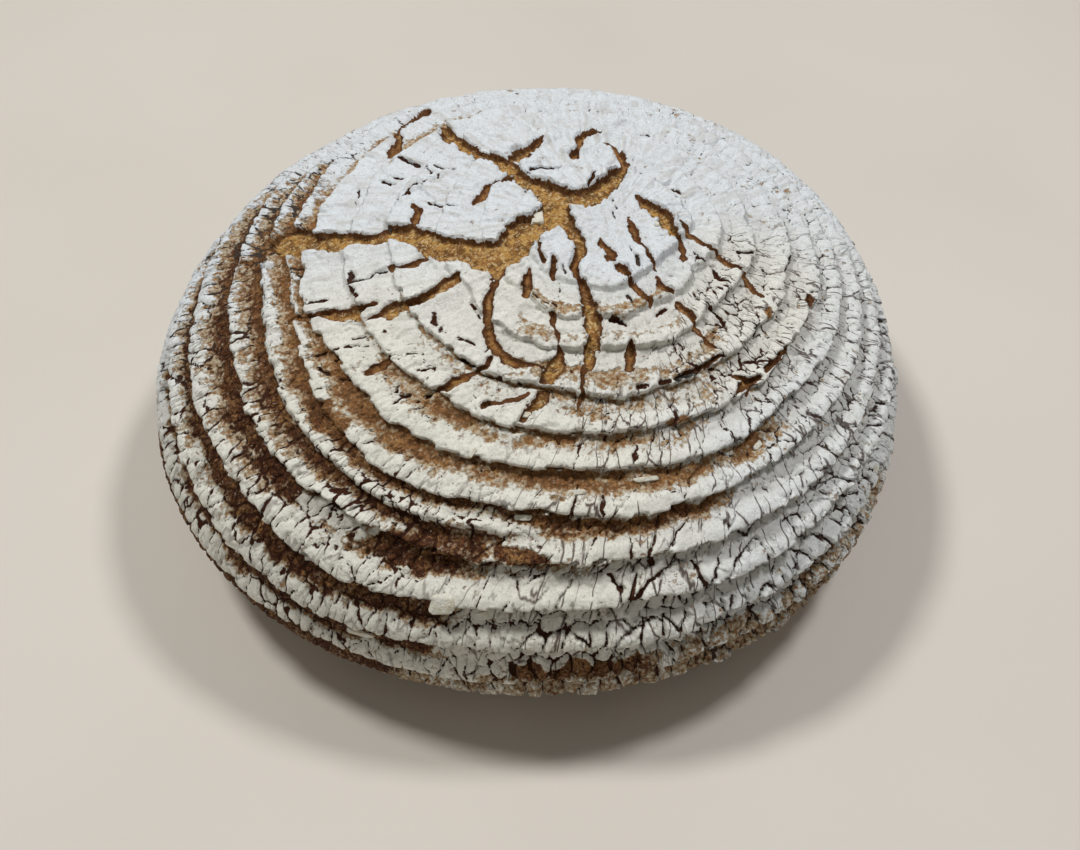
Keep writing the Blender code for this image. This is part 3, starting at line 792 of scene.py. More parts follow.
def nearest_line(lines, along, across):
    """Distance outside the nearest line's edge, negative inside it, and that line's half width there."""
    gap = np.full(along.shape, float(LOAF_RADIUS))
    breadth = np.zeros(along.shape)
    for line in lines:
        bearing, distance, half_width = np.array(line, float).T
        knot_along = distance * np.cos(np.radians(bearing))
        knot_across = distance * np.sin(np.radians(bearing))
        for i in range(len(line) - 1):
            run_along = knot_along[i + 1] - knot_along[i]
            run_across = knot_across[i + 1] - knot_across[i]
            length = np.hypot(run_along, run_across)
            near = np.hypot(along - knot_along[i], across - knot_across[i]) < length + LINE_REACH
            off_along = along[near] - knot_along[i]
            off_across = across[near] - knot_across[i]
            share = np.clip((off_along * run_along + off_across * run_across) / length**2, 0, 1)
            width = half_width[i] + share * (half_width[i + 1] - half_width[i])
            found = np.hypot(off_along - share * run_along, off_across - share * run_across) - width
            closer = found < gap[near]
            gap[near] = np.where(closer, found, gap[near])
            breadth[near] = np.where(closer, width, breadth[near])
    return gap, breadth


def plates(x, y, width, height, seed, around=None, rows=None):
    """Irregular plates about a jittered grid: mm to the plate's edge, its own value, and mm up its tilt."""
    column = np.floor(x)
    row = np.floor(y)
    found_x = []
    found_y = []
    value = []
    for step_across in (-1, 0, 1):
        for step_down in (-1, 0, 1):
            cell_x = column + step_across
            cell_y = row + step_down
            wrapped = cell_x if around is None else cell_x % around
            off_x = PLATE_JITTER * (scrambled(wrapped, cell_y, seed=seed) - 0.5)
            off_y = PLATE_JITTER * (scrambled(wrapped, cell_y, seed=seed + 1) - 0.5)
            outside = 0 if rows is None else FAR_AWAY * ((cell_y < 0) | (cell_y >= rows))
            found_x.append((cell_x + 0.5 + off_x - x) * width + outside)
            found_y.append((cell_y + 0.5 + off_y - y) * height)
            value.append(scrambled(wrapped, cell_y, seed=seed + 2))
    found_x = np.array(found_x)
    found_y = np.array(found_y)
    square = found_x**2 + found_y**2
    nearest = square.argmin(axis=0)[None]
    own_x = np.take_along_axis(found_x, nearest, 0)
    own_y = np.take_along_axis(found_y, nearest, 0)
    apart = 2 * np.hypot(found_x - own_x, found_y - own_y)
    own_square = np.take_along_axis(square, nearest, 0)
    edge = np.where(apart > 0, (square - own_square) / np.maximum(apart, LEAST_APART), FAR_AWAY)
    value = np.take_along_axis(np.array(value), nearest, 0)[0]
    tilt = own_x[0] * (value * 100 % 1 - 0.5) + own_y[0] * (value * 10 % 1 - 0.5)
    return edge.min(axis=0), value, tilt


def chips(along, across, size, seed):
    """Straight-sided patches about size mm wide, each with its own value from -0.5 to 0.5."""
    return plates(along / size, across / size, size, size, seed)[1] - 0.5


def coil_relief(distance, bearing):
    """Height of the coil ridges, 0 to 1, with each point's coil, share of it and width."""
    coil, share, width = coil_place(distance, bearing)
    rise, full, fade, end = SPLIT_BEARINGS
    split = smooth_step(rise, full, bearing) * (1 - smooth_step(fade, end, bearing)) * (coil == SPLIT_COIL)
    height = (1 - split) * ridge(share, width) + split * ridge(2 * share % 1, width / 2)
    height = np.where(coil < len(COILS), height, SKIRT_HEIGHT)
    lower_share = np.where(split > 0.5, 2 * share % 1, share)
    return height, coil, share, lower_share, width


def spots(places, distance, bearing):
    """How deep a point lies in the nearest spot: 1 in its middle, 0 on its edge and less outside."""
    depth = np.full(distance.shape, -float(FAR_AWAY))
    for centre, reach, half_round, half_down in places:
        off_round = np.radians(turn_from(bearing, centre)) * np.minimum(distance, LOAF_RADIUS) / half_round
        off_down = (distance - reach) / half_down
        depth = np.maximum(depth, 1 - np.hypot(off_round, off_down))
    return depth


def band_bareness(coil, share, bearing):
    """How bare the valleys and ridges are, 0 to 1."""
    bare = np.zeros(bearing.shape)
    for number, start, end, upper, lower, amount in BARE_BANDS:
        here = amount * sector(bearing, start, end, BAND_SOFT_ENDS) * (coil == number)
        near_foot = smooth_step(upper - BAND_SHARP_EDGE, upper + BAND_SHARP_EDGE, share)
        soft = BAND_CRISP_EDGE if number >= CRISP_COILS and amount > CRISP_AMOUNT else BAND_SOFT_EDGE
        bare = np.maximum(bare, here * near_foot * (1 - smooth_step(lower - soft, lower + soft, share)))
    return bare


def ridge_plates(distance, bearing, coil, share, width, wander, left, bars):
    """Plates along the ridges: mm to each plate's edge, its own value, and mm up its tilt."""
    circle = np.interp(distance, DISTANCE, RADIUS)
    starts = [0] + [edge for edge, _ in COILS]
    middles = [(start + end) / 2 for start, end in zip(starts, starts[1:])] + [SKIRT_MIDDLE]
    coil_circle = np.interp(middles, DISTANCE, RADIUS)[coil]
    sides = (
        (~left & ~bars, RIGHT_PLATES, 31),
        (left & ~bars, LEFT_PLATES, 41),
        (bars, FRONT_BARS, 71),
    )
    found = np.zeros((3, len(distance)))
    for side, (length, plain_rows, split_rows), seed in sides:
        count = np.round(2 * np.pi * coil_circle / length)
        rows = np.where(coil == SPLIT_COIL, split_rows, plain_rows)
        column_width = np.maximum(2 * np.pi * circle / count, 0.5)
        on_side = plates(
            bearing / 360 * count + PLATE_LEAN * share + wander[0] / column_width,
            share * rows + wander[1] * rows / width,
            column_width,
            width / rows,
            seed + 10 * coil,
            around=count,
            rows=rows,
        )
        found = np.where(side, on_side, found)
    return found


def crown_flakes(points, distance, bearing, wander, brittle):
    """Relief in mm of the long flakes over the crown, most of them joined."""
    length, down = CROWN_FLAKE
    count = 2 * np.pi * CROWN_FLAKE_CIRCLE / length
    edge, value, tilt = plates(
        bearing / 360 * count + wander[0] / CROWN_FLAKE_WANDER[0],
        distance / down + wander[1] / CROWN_FLAKE_WANDER[1],
        length * np.interp(distance, DISTANCE, RADIUS) / CROWN_FLAKE_CIRCLE,
        down,
        81,
        around=np.round(count),
    )
    scaly = smooth_step(*CROWN_FLAKE_START, distance) * (1 - smooth_step(*CROWN_FLAKE_END, distance))
    gap = edge + CROWN_FLAKE_JOIN - waves(points, CROWN_FLAKE_WAVES, 82)
    drop = CROWN_FLAKE_DROP * (1 - smooth_step(*CROWN_FLAKE_WALL, gap))
    return (CROWN_FLAKE_STEP * (value - 0.5) + CROWN_FLAKE_TILT * tilt - drop) * scaly * (1 - brittle)


def cream_and_warm_light(distance, bearing):
    """How creamy the flour is, 0 to 1: most at the front, least behind; partly its own tone, partly painted
    warm light.
    """
    cream = 0
    for side, start, end, amount in CREAM_ZONES:
        reach = smooth_step(*start, distance) * (1 - smooth_step(*end, distance))
        cream = np.maximum(cream, amount * sector(bearing, *side) * reach)
    return LEAST_CREAM + cream


def hollow_depth(distance, bearing):
    """Depth in mm of the shallow hollow at the front."""
    off_round = turn_from(bearing, HOLLOW_BEARING) * np.radians(1) * distance / HOLLOW_SIZE[0]
    off_down = (distance - HOLLOW_DISTANCE) / HOLLOW_SIZE[1]
    return HOLLOW_DEPTH * np.exp(-(off_round**2) - off_down**2)


def crust(distance, bearing):
    """The crust at points of the map: places in mm, and what the finish needs to know of each."""
    radians = np.radians(bearing)
    heading = np.array([np.cos(radians), np.sin(radians)])
    along, across = distance * heading
    bare_dome = dome(along, across)
    low = smooth_step(*LOW_START, distance)
    left = sector(bearing, *LEFT_SIDE) > 0.5
    behind = sector(bearing, *BEHIND)
    lower_left = sector(bearing, *LEFT_FLANK) * smooth_step(*LEFT_FLANK_START, distance)
    plate = bearing_bump(bearing, PLATE_BEARING, PLATE_SPREAD) * (1 - smooth_step(*PLATE_REACH, distance))
    plate_zone = np.clip(plate * PLATE_ZONE_GAIN, 0, 1)

    # ridges with ragged edges
    jag = layered(bare_dome, JAG_SIZES, (11, 12)) + BLOCK_JAG * chips(along, across, BLOCK_SIZE, 91)
    ragged = np.maximum(distance + jag * smooth_step(*JAG_START, distance), 0)
    height, coil, share, lower_share, width = coil_relief(ragged, bearing)
    size = INNER_RIDGE + (OUTER_RIDGE - INNER_RIDGE) * smooth_step(*RIDGE_GROWTH, distance)
    size = size + RIM_RIDGE * smooth_step(*RIM_START, distance) - LEFT_FLATTER * sector(bearing, *LEFT_FLANK)
    folded = height * (1 - PLATE_SMOOTHING * plate) + PLATE_SMOOTHING / 2 * plate

    # tears and cracks with ragged edges
    notch = chips(along, across, NOTCH_SIZE, 21)
    chip = chips(along, across, CHIP_SIZE, 26)
    fray = NOTCH_FRAY * notch + CHIP_FRAY * chip
    bent_along = along + layered(bare_dome, EDGE_BENDS, (24, 27))
    bent_across = across + layered(bare_dome, EDGE_BENDS, (25, 28))
    tear_gap, tear_width = nearest_line(WIDE_TEARS, bent_along, bent_across)
    crack_gap, crack_width = nearest_line(THIN_CRACKS, bent_along, bent_across)
    tear_gap = tear_gap + fray * np.clip(tear_width / 2, *FRAY_LIMITS)
    tear_gap = tear_gap + FOLD_POINTS * (height - 0.5) * plate_zone
    crack_gap = crack_gap + CRACK_NARROWING * crack_width + CRACK_FRAY * fray
    torn = 1 - smooth_step(-TEAR_WALL, TEAR_WALL, tear_gap)
    cracked = 1 - smooth_step(*CRACK_WALL, crack_gap)
    cut = np.clip(CRACK_CUT[0] + crack_width, 0, CRACK_CUT[1])
    tear_depth = np.clip(TEAR_START_DEPTH + TEAR_DEEPENING * tear_width, 0, TEAR_DEPTH)
    lip = LIP_HEIGHT * np.exp(-np.maximum(tear_gap, 0) / LIP_REACH)
    lip = lip * np.clip(tear_width / LIP_FULL_WIDTH, 0, 1)

    # plates along the ridges, and how far they part
    wander = [layered(bare_dome, PLATE_WANDER, seeds) for seeds in ((53, 54), (55, 56))]
    bars = (sector(bearing, *BARS_SIDE) > 0.5) & (share > BARS_SHARE)
    bars = bars & (distance > BARS_REACH[0]) & (distance < BARS_REACH[1])
    found = ridge_plates(distance, bearing, coil, share, width, wander, left, bars)
    plate_edge, plate_value, plate_tilt = found
    outer = smooth_step(*BRITTLE_START, distance + RIGHT_BRITTLE_LEAD * sector(bearing, *RIGHT_SIDE))
    crown_front = smooth_step(*CROWN_FRONT_START, distance) * sector(bearing, *CROWN_FRONT)
    front_left = sector(bearing, *FRONT_LEFT) * (1 - smooth_step(*FRONT_LEFT_END, distance))
    brittle = np.maximum(outer, CROWN_BRITTLE * crown_front) * (1 - plate)
    brittle = brittle * (1 - FRONT_LEFT_CALM * front_left)
    thin, wide = CRACK_HALF_WIDTH
    boldness = np.where(bars, BARS_BOLDNESS, 1)
    half_width = thin + (wide - thin) * (0.5 + grain(bare_dome, CRACK_CHANGE, 51)) * boldness
    half_width = half_width + LOW_CRACK_WIDER * low * (1 - left) - BEHIND_CRACK_NARROWER * behind * (1 - low)
    half_width = half_width * brittle + LEFT_CRACK_WIDER * lower_left
    craze = plate_edge + waves(bare_dome, CRAZE_WAVES, 52) - half_width
    groove = (1 - smooth_step(0, CRACK_SLOPE, craze)) * smooth_step(*GROOVE_START, brittle)

    # where flour lies and where the crust is bare
    wavering = lower_share + layered(bare_dome, BAND_WAVES, (60, 65))
    blotches = BLOTCH_MIDDLE + BLOTCH_MIDDLE * rough_grain(bare_dome, BLOTCH_SIZE, 66)
    blotches = np.clip(blotches, *BLOTCH_LIMITS)
    steady = np.maximum(smooth_step(*STEADY_START, distance), sector(bearing, *STEADY_SIDE))
    bare = np.clip(band_bareness(coil, wavering, bearing) * (blotches + (1 - blotches) * steady), 0, 1)
    # bare dark crust at the foot of each crest, partly painted shade under the crest; less of it on the right
    shaded_foot = band(lower_share, *SHADED_FOOT) * smooth_step(*SHADED_FOOT_START, distance) * (1 - plate_zone)
    shaded_foot = shaded_foot * (1 - RIGHT_SHADED_FOOT_LESS * sector(bearing, *RIGHT_HALF))
    bare = np.maximum(bare, (SHADED_FOOT_BARE + LEFT_SHADED_FOOT_BARER * left) * shaded_foot)
    ragged_edge = SPOT_NOTCH * notch + waves(bare_dome, SPOT_WAVES, 64)
    bare_spot = smooth_step(-SPOT_SOFT, SPOT_SOFT, spots(BARE_SPOTS, distance, bearing) + ragged_edge)
    flour_spot = smooth_step(-SPOT_SOFT, SPOT_SOFT, spots(FLOUR_SPOTS, distance, bearing) + ragged_edge)
    flour = np.maximum(np.minimum(1 - bare, 1 - bare_spot), flour_spot)
    flour = flour + PLATE_FLOUR * (plate_value - 0.5) * brittle + CHIP_FLOUR * chip
    under_rim = smooth_step(*UNDER_RIM, distance)
    under_flour = UNDER_FLOUR + waves(bare_dome, UNDER_WAVES, 61)
    flour = flour * (1 - under_rim) + under_rim * under_flour

    # the relief, in mm above the bare dome
    coat = COAT_HEIGHT * smooth_step(*COAT_START, flour + waves(bare_dome, COAT_WAVES, 62))
    relief = size * (folded - RELIEF_MIDDLE) + coat - RELIEF_DROP
    lumpy = brittle * smooth_step(*LUMP_START, height)
    lumpy = lumpy * (1 - BEHIND_SMOOTHER * behind) * (1 - LEFT_SMOOTHER * left)
    pillow = 1 - np.exp(-np.maximum(plate_edge, 0) / PILLOW_EDGE)
    stepped = PLATE_STEP * (1 + low * (1 - left)) * (plate_value - 0.5) + PLATE_TILT * plate_tilt
    relief = relief + lumpy * (stepped + PILLOW_HEIGHT * (1 + LOW_PILLOW * low) * (pillow - 1))
    relief = relief + lumpy * layered(bare_dome, LUMPS, (85, 86))
    relief = relief - CRACK_DEPTH * (1 + LOW_CRACK_DEEPER * low * (1 - left)) * groove
    relief = relief + crown_flakes(bare_dome, distance, bearing, wander, brittle)
    relief = relief + waves(bare_dome, SWELLS, 83) * (1 - bare)
    round_streaks = np.stack([*(heading * STREAK_CIRCLE), distance / STREAK_LENGTH], axis=-1)
    streaks = rough_grain(round_streaks, 1, 87)
    relief = relief + STREAK_HEIGHT * streaks * (1 - brittle)
    relief = (relief + lip - cracked * cut) * (1 - torn) - tear_depth * torn
    grain_size, grain_height = GRANULES
    bare_here = np.maximum(torn, 1 - smooth_step(*BARE_GRAIN_START, flour))
    grainy = GRANULES_ON_FLOUR + (1 - GRANULES_ON_FLOUR) * bare_here + GRANULES_IN_TEARS * torn
    relief = relief + grain_height * rough_grain(bare_dome, grain_size, 63) * grainy
    relief = relief - hollow_depth(distance, bearing)
    relief = relief * (1 - smooth_step(*(BASE_DISTANCE - edge for edge in UNDERSIDE_FADE), distance))

    # crests lean out over the valleys
    slide = OVERHANG * height * (1 - torn) * smooth_step(*OVERHANG_SHARE, share)
    slide = slide * smooth_step(*OVERHANG_START, distance) * (1 - smooth_step(*OVERHANG_END, distance))
    along, across = (distance + slide) * heading
    place = dome(along, across) + dome_normals(along, across) * relief[:, None]
    belt = np.stack([*(heading * BELT_RADIUS), distance / TICK_LENGTH + BELT_GAP * coil], axis=-1)
    finish = {
        "flour": flour,
        "tear_gap": tear_gap,
        "tear_width": tear_width,
        "crack_gap": np.minimum(crack_gap, np.where(brittle > CRAZE_LEAST, craze + CRAZE_SHADE, NO_CRACK)),
        "warm": cream_and_warm_light(distance, bearing),
        "height": height,
        "brittle": brittle * (1 - BEHIND_CALM * behind * (1 - low)),
        "streaks": streaks,
        # darker crust towards the rim
        "baked": smooth_step(*RIMWARD_START, distance),
        "left": lower_left,
        "belt": belt,
    }
    return place, finish


# ---- the loaf's mesh
def fine_rows():
    """Bearing and distance of every vertex, row by row, from the ring centre to the edge of the underside."""
    bearings = [np.zeros(1)]
    distances = [np.zeros(1)]
    cap_row = 0
    inner = 0
    for coil in range(len(COILS)):
        outer = COILS[coil][0]
        count = round((outer - inner) / SPACING)
        inner = outer
        for step in range(count):
            columns = SECTORS * min(len(bearings), FULL_COLUMNS)
            bearing = np.arange(columns) * 360 / columns
            start = coil_edge(coil - 1, bearing) if coil else 0
            bearings.append(bearing)
            distances.append(start + (step + 1) / count * (coil_edge(coil, bearing) - start))
        if coil == CAP_COILS - 1:
            cap_row = len(bearings) - 1
    last = distances[-1]
    for step in range(SKIRT_ROWS):
        share = (step + 1) / SKIRT_ROWS
        bearings.append(bearings[-1])
        distances.append(last + (BASE_DISTANCE - last) * share * (1 - SKIRT_GROWTH + SKIRT_GROWTH * share))
    return bearings, distances, cap_row


def sector_faces(starts, counts, row, number):
    """Triangles of one sector between a row and the next one down."""
    above_count = counts[row] // SECTORS
    below_count = counts[row + 1] // SECTORS
    above = starts[row] + (number * above_count + np.arange(above_count + 1)) % counts[row]
    if below_count == 0:
        below = np.full(above_count + 1, starts[row + 1])
        return np.stack([above[:-1], below[:-1], above[1:]], axis=1)
    below = starts[row + 1] + (number * below_count + np.arange(below_count + 1)) % counts[row + 1]
    upward = np.stack([above[np.minimum(np.arange(below_count), above_count)], below[:-1], below[1:]], axis=1)
    downward = np.stack([above[:-1], below[1 : above_count + 1], above[1:]], axis=1)
    return np.concatenate([upward, downward])


def open_edges(faces):
    """Edges that only one triangle has, in that triangle's order."""
    edges = np.concatenate([faces[:, [0, 1]], faces[:, [1, 2]], faces[:, [2, 0]]])
    key = np.sort(edges, axis=1) @ np.array([1 << 32, 1])
    _, first, times = np.unique(key, return_index=True, return_counts=True)
    return edges[first[times == 1]]


def point_normals(places, faces):
    corner = places[faces]
    facing = np.cross(corner[:, 1] - corner[:, 0], corner[:, 2] - corner[:, 0])
    normals = np.zeros_like(places)
    for axis in range(3):
        for i in range(3):
            normals[:, axis] += np.bincount(faces[:, i], facing[:, axis], len(places))
    return normals / np.maximum(np.linalg.norm(normals, axis=1, keepdims=True), LEAST_LENGTH)


def put_in_scene(name, data):
    made = bpy.data.objects.new(name, data)
    bpy.context.scene.collection.objects.link(made)
    return made


def add_to_loaf(name, mesh):
    """A piece that is part of the loaf."""
    piece = put_in_scene(name, mesh)
    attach(piece, "root")
    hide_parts("loaf")


def add_piece(name, material, places, faces, normals, finish, flat_map):
    """One closed piece of crust: its faces, and hidden ones from its open edges to the loaf's heart."""
    used, local = np.unique(faces, return_inverse=True)
    faces = local.reshape(-1, 3)
    edges = open_edges(faces)
    heart = len(used)
    hidden = np.stack([edges[:, 1], edges[:, 0], np.full(len(edges), heart)], axis=1)
    corners = np.concatenate([faces, hidden]).ravel()
    mesh = bpy.data.meshes.new(name)
    mesh.vertices.add(len(used) + 1)
    mesh.vertices.foreach_set("co", (np.concatenate([places[used], [HEART]]) * MM).ravel())
    mesh.loops.add(len(corners))
    mesh.loops.foreach_set("vertex_index", corners)
    mesh.polygons.add(len(corners) // 3)
    mesh.polygons.foreach_set("loop_start", np.arange(0, len(corners), 3))
    step = np.arange(len(edges))
    strip_along = np.stack([step + 1, step, step + 0.5], axis=1) / len(edges)
    strip_up = np.broadcast_to([HIDDEN_STRIP, HIDDEN_STRIP, 0], strip_along.shape)
    flat = np.concatenate([flat_map[used][faces], np.stack([strip_along, strip_up], axis=-1)])
    mesh.uv_layers.new(name="OFBake").data.foreach_set("uv", flat.ravel())
    for label, values in finish.items():
        values = np.concatenate([values[used], values[used].mean(axis=0, keepdims=True)])
        kind, field = ("FLOAT", "value") if values.ndim == 1 else ("FLOAT_VECTOR", "vector")
        mesh.attributes.new(label, kind, "POINT").data.foreach_set(field, values.ravel())
    mesh.update(calc_edges=True)
    mesh.shade_smooth()
    mesh.normals_split_custom_set_from_vertices(np.concatenate([normals[used], [(0, 0, 1)]]))
    mesh.materials.append(material)
    add_to_loaf(name, mesh)


def flat_maps(bearings, distances, counts, cap_row):
    """Where every vertex lies on the flat map of the cap, and on that of each wedge."""
    bearing = np.concatenate(bearings + [bearings[-1], [0]])
    room = 1 - HIDDEN_STRIP
    reach = distances[cap_row].max()
    spread = np.concatenate(distances + [np.zeros(counts[-2] + 1)]) / reach * 0.5 * room
    turn = np.radians(bearing)
    cap = np.stack([0.5 + spread * np.cos(turn), HIDDEN_STRIP + room / 2 + spread * np.sin(turn)], axis=1)
    row = np.repeat(np.arange(len(counts)), counts)
    last_row = len(bearings) - 1
    below = HIDDEN_STRIP + UNDERSIDE_STRIP
    down = 1 - (row - cap_row) / (last_row - cap_row) * (1 - below)
    down[row == last_row + 1] = below - UNDERSIDE_SEAM
    down[row == last_row + 2] = HIDDEN_STRIP
    wedges = []
    for number in range(SECTORS):
        share = ((bearing - 360 / SECTORS * number + SEAM_TURN) % 360 - SEAM_TURN) / (360 / SECTORS)
        share[-1] = 0.5
        wedges.append(np.stack([share, down], axis=1))
    return cap, wedges


def build_crust():
    """The whole crust and underside: a cap over the crown, and six wedges below it."""
    bearings, distances, cap_row = fine_rows()
    place, finish = crust(np.concatenate(distances), np.concatenate(bearings))
    rim = place[-len(bearings[-1]) :]
    rim[:, 2] = 0
    inset = rim * (1 - UNDERSIDE_INSET / LOAF_RADIUS)
    places = np.concatenate([place, inset, [(0, 0, 0)]])
    shift = (places.min(axis=0) + places.max(axis=0)) / 2 * (1, 1, 0)
    places = places - shift
    counts = [len(row) for row in bearings] + [len(rim), 1]
    starts = np.concatenate([[0], np.cumsum(counts)])[:-1]
    for label, values in finish.items():
        last = values[-len(rim) :]
        finish[label] = np.concatenate([values, last, last.mean(axis=0, keepdims=True)])
    cap = []
    wedges = [[] for number in range(SECTORS)]
    for row in range(len(counts) - 1):
        for number in range(SECTORS):
            group = cap if row < cap_row else wedges[number]
            group.append(sector_faces(starts, counts, row, number))
    cap = np.concatenate(cap)
    wedges = [np.concatenate(wedge) for wedge in wedges]
    normals = point_normals(places, np.concatenate([cap] + wedges))
    normals[starts[-2] :] = (0, 0, -1)
    cap_map, wedge_maps = flat_maps(bearings, distances, counts, cap_row)
    material = crust_finish()
    add_piece("crust_crown", material, places, cap, normals, finish, cap_map)
    for number, (wedge, wedge_map) in enumerate(zip(wedges, wedge_maps)):
        add_piece(f"crust_side_{number + 1}", material, places, wedge, normals, finish, wedge_map)
    return shift


def build_flakes(shift):
    """Loose flakes and crumbs of crust, joined in one piece."""
    ball = bmesh.new()
    bmesh.ops.create_icosphere(ball, subdivisions=2, radius=1)
    round_points = np.array([vertex.co for vertex in ball.verts])
    ball_faces = np.array([[vertex.index for vertex in face.verts] for face in ball.faces])
    ball.free()
    squared = np.sign(round_points) * np.abs(round_points) ** FLAKE_SQUARENESS
    flakes = np.array(FLAKES, float)
    spots_on_crust = crust(flakes[:, 1], flakes[:, 0])[0] - shift
    places = []
    for flake, spot in zip(flakes, spots_on_crust):
        bearing, distance, *sizes, turn = flake
        radians = np.radians([bearing])
        up = dome_normals(distance * np.cos(radians), distance * np.sin(radians))[0]
        heading = np.radians(bearing + 90 + turn)
        ahead = np.array([np.cos(heading), np.sin(heading), 0])
        ahead = ahead - up * (ahead @ up)
        ahead = ahead / np.linalg.norm(ahead)
        axes = np.stack([ahead, np.cross(up, ahead), up])
        local = squared * np.array(sizes) / 2
        chipped = local * (1 + FLAKE_CHIPS * grain(local + spot, FLAKE_CHIP_SIZE, 95)[:, None])
        places.append(spot + up * FLAKE_SINK + chipped @ axes)
    places = np.concatenate(places)
    faces = np.concatenate([ball_faces + number * len(round_points) for number in range(len(flakes))])
    mesh = bpy.data.meshes.new("loose_flakes")
    mesh.from_pydata((places * MM).tolist(), [], faces.tolist())
    side = int(np.ceil(np.sqrt(len(faces))))
    near, far = FLAT_MARGIN, 1 - FLAT_MARGIN
    corner = np.array([(near, near), (far, near), (near, far)])
    cell = np.stack([np.arange(len(faces)) % side, np.arange(len(faces)) // side], axis=1)
    flat_map = (cell[:, None] + corner) / side
    mesh.uv_layers.new(name="OFBake").data.foreach_set("uv", flat_map.ravel())
    mesh.materials.append(flake_finish())
    add_to_loaf("loose_flakes", mesh)


# ---- materials
class Value:
    """A node socket that takes part in sums."""

    def __init__(self, nodes, socket):
        self.nodes = nodes
        self.socket = socket

    def math(self, operation, first, second):
        return self.nodes.add("ShaderNodeMath", {"operation": operation}, {0: first, 1: second})

    def __add__(self, other):
        return self.math("ADD", self, other)

    def __radd__(self, other):
        return self.math("ADD", other, self)

    def __sub__(self, other):
        return self.math("SUBTRACT", self, other)

    def __rsub__(self, other):
        return self.math("SUBTRACT", other, self)

    def __mul__(self, other):
        return self.math("MULTIPLY", self, other)

    def __rmul__(self, other):
        return self.math("MULTIPLY", other, self)

    def at_least(self, other):
        return self.math("MAXIMUM", self, other)

    def ramp(self, low, high, most=1):
        """0 below low, most above high, and a smooth ramp between."""
        inputs = {"Value": self, "From Min": low, "From Max": high, "To Max": most}
        return self.nodes.add("ShaderNodeMapRange", {"interpolation_type": "SMOOTHSTEP"}, inputs)


class Finish:
    """A new material, and the nodes that feed its shader."""

    def __init__(self, name, fixed):
        self.material = bpy.data.materials.new(name)
        self.material.use_nodes = True
        self.tree = self.material.node_tree
        self.shader = self.tree.nodes["Principled BSDF"]
        for label, value in fixed.items():
            self.shader.inputs[label].default_value = value

    def add(self, kind, settings=None, inputs=None, output=0):
        """Adds a node, sets it up, and returns one of its outputs."""
        node = self.tree.nodes.new(kind)
        for label, value in (settings or {}).items():
            setattr(node, label, value)
        for label, value in (inputs or {}).items():
            self.feed(node.inputs[label], value)
        return Value(self, node.outputs[output])

    def feed(self, socket, value):
        if isinstance(value, Value):
            self.tree.links.new(value.socket, socket)
        else:
            socket.default_value = value

    def to_shader(self, label, value):
        self.feed(self.shader.inputs[label], value)

    def read(self, label, output="Fac"):
        return self.add("ShaderNodeAttribute", {"attribute_name": label}, output=output)

    def vector(self, operation, inputs):
        return self.add("ShaderNodeVectorMath", {"operation": operation}, inputs)

    def place(self):
        """Where the point lies on the object, in mm."""
        return self.vector("SCALE", {0: self.add("ShaderNodeTexCoord", output="Object"), "Scale": 1 / MM})

    def clouds(self, place, size, detail, roughness):
        """Cloudy values about 0.5, which change over size mm."""
        inputs = {"Vector": place, "Scale": 1 / size, "Detail": detail, "Roughness": roughness}
        return self.add("ShaderNodeTexNoise", None, inputs)

    def patches(self, place, size, detail, roughness, *limits):
        """Clouds that show only above a limit."""
        return self.clouds(place, size, detail, roughness).ramp(*limits)

    def cells(self, place, size, feature="DISTANCE_TO_EDGE"):
        return self.add("ShaderNodeTexVoronoi", {"feature": feature}, {"Vector": place, "Scale": 1 / size})

    def shifted(self, place, amount, size):
        """The place moved about by up to amount mm, for ragged edges."""
        inputs = {"Vector": place, "Scale": 1 / size, "Detail": 2}
        cloud = self.add("ShaderNodeTexNoise", None, inputs, output="Color")
        centred = self.vector("SUBTRACT", {0: cloud, 1: (0.5, 0.5, 0.5)})
        scaled = self.vector("SCALE", {0: centred, "Scale": 2 * amount})
        return self.vector("ADD", {0: place, 1: scaled})

    def mix(self, share, first, second):
        """A colour between two, 0 for the first and 1 for the second."""
        first = (*first, 1) if isinstance(first, tuple) else first
        second = (*second, 1) if isinstance(second, tuple) else second
        return self.add("ShaderNodeMix", {"data_type": "RGBA"}, {0: share, 6: first, 7: second}, output=2)

    def bump(self, height, distance, strength=1.0):
        inputs = {"Height": height, "Distance": distance, "Strength": strength}
        return self.add("ShaderNodeBump", None, inputs)


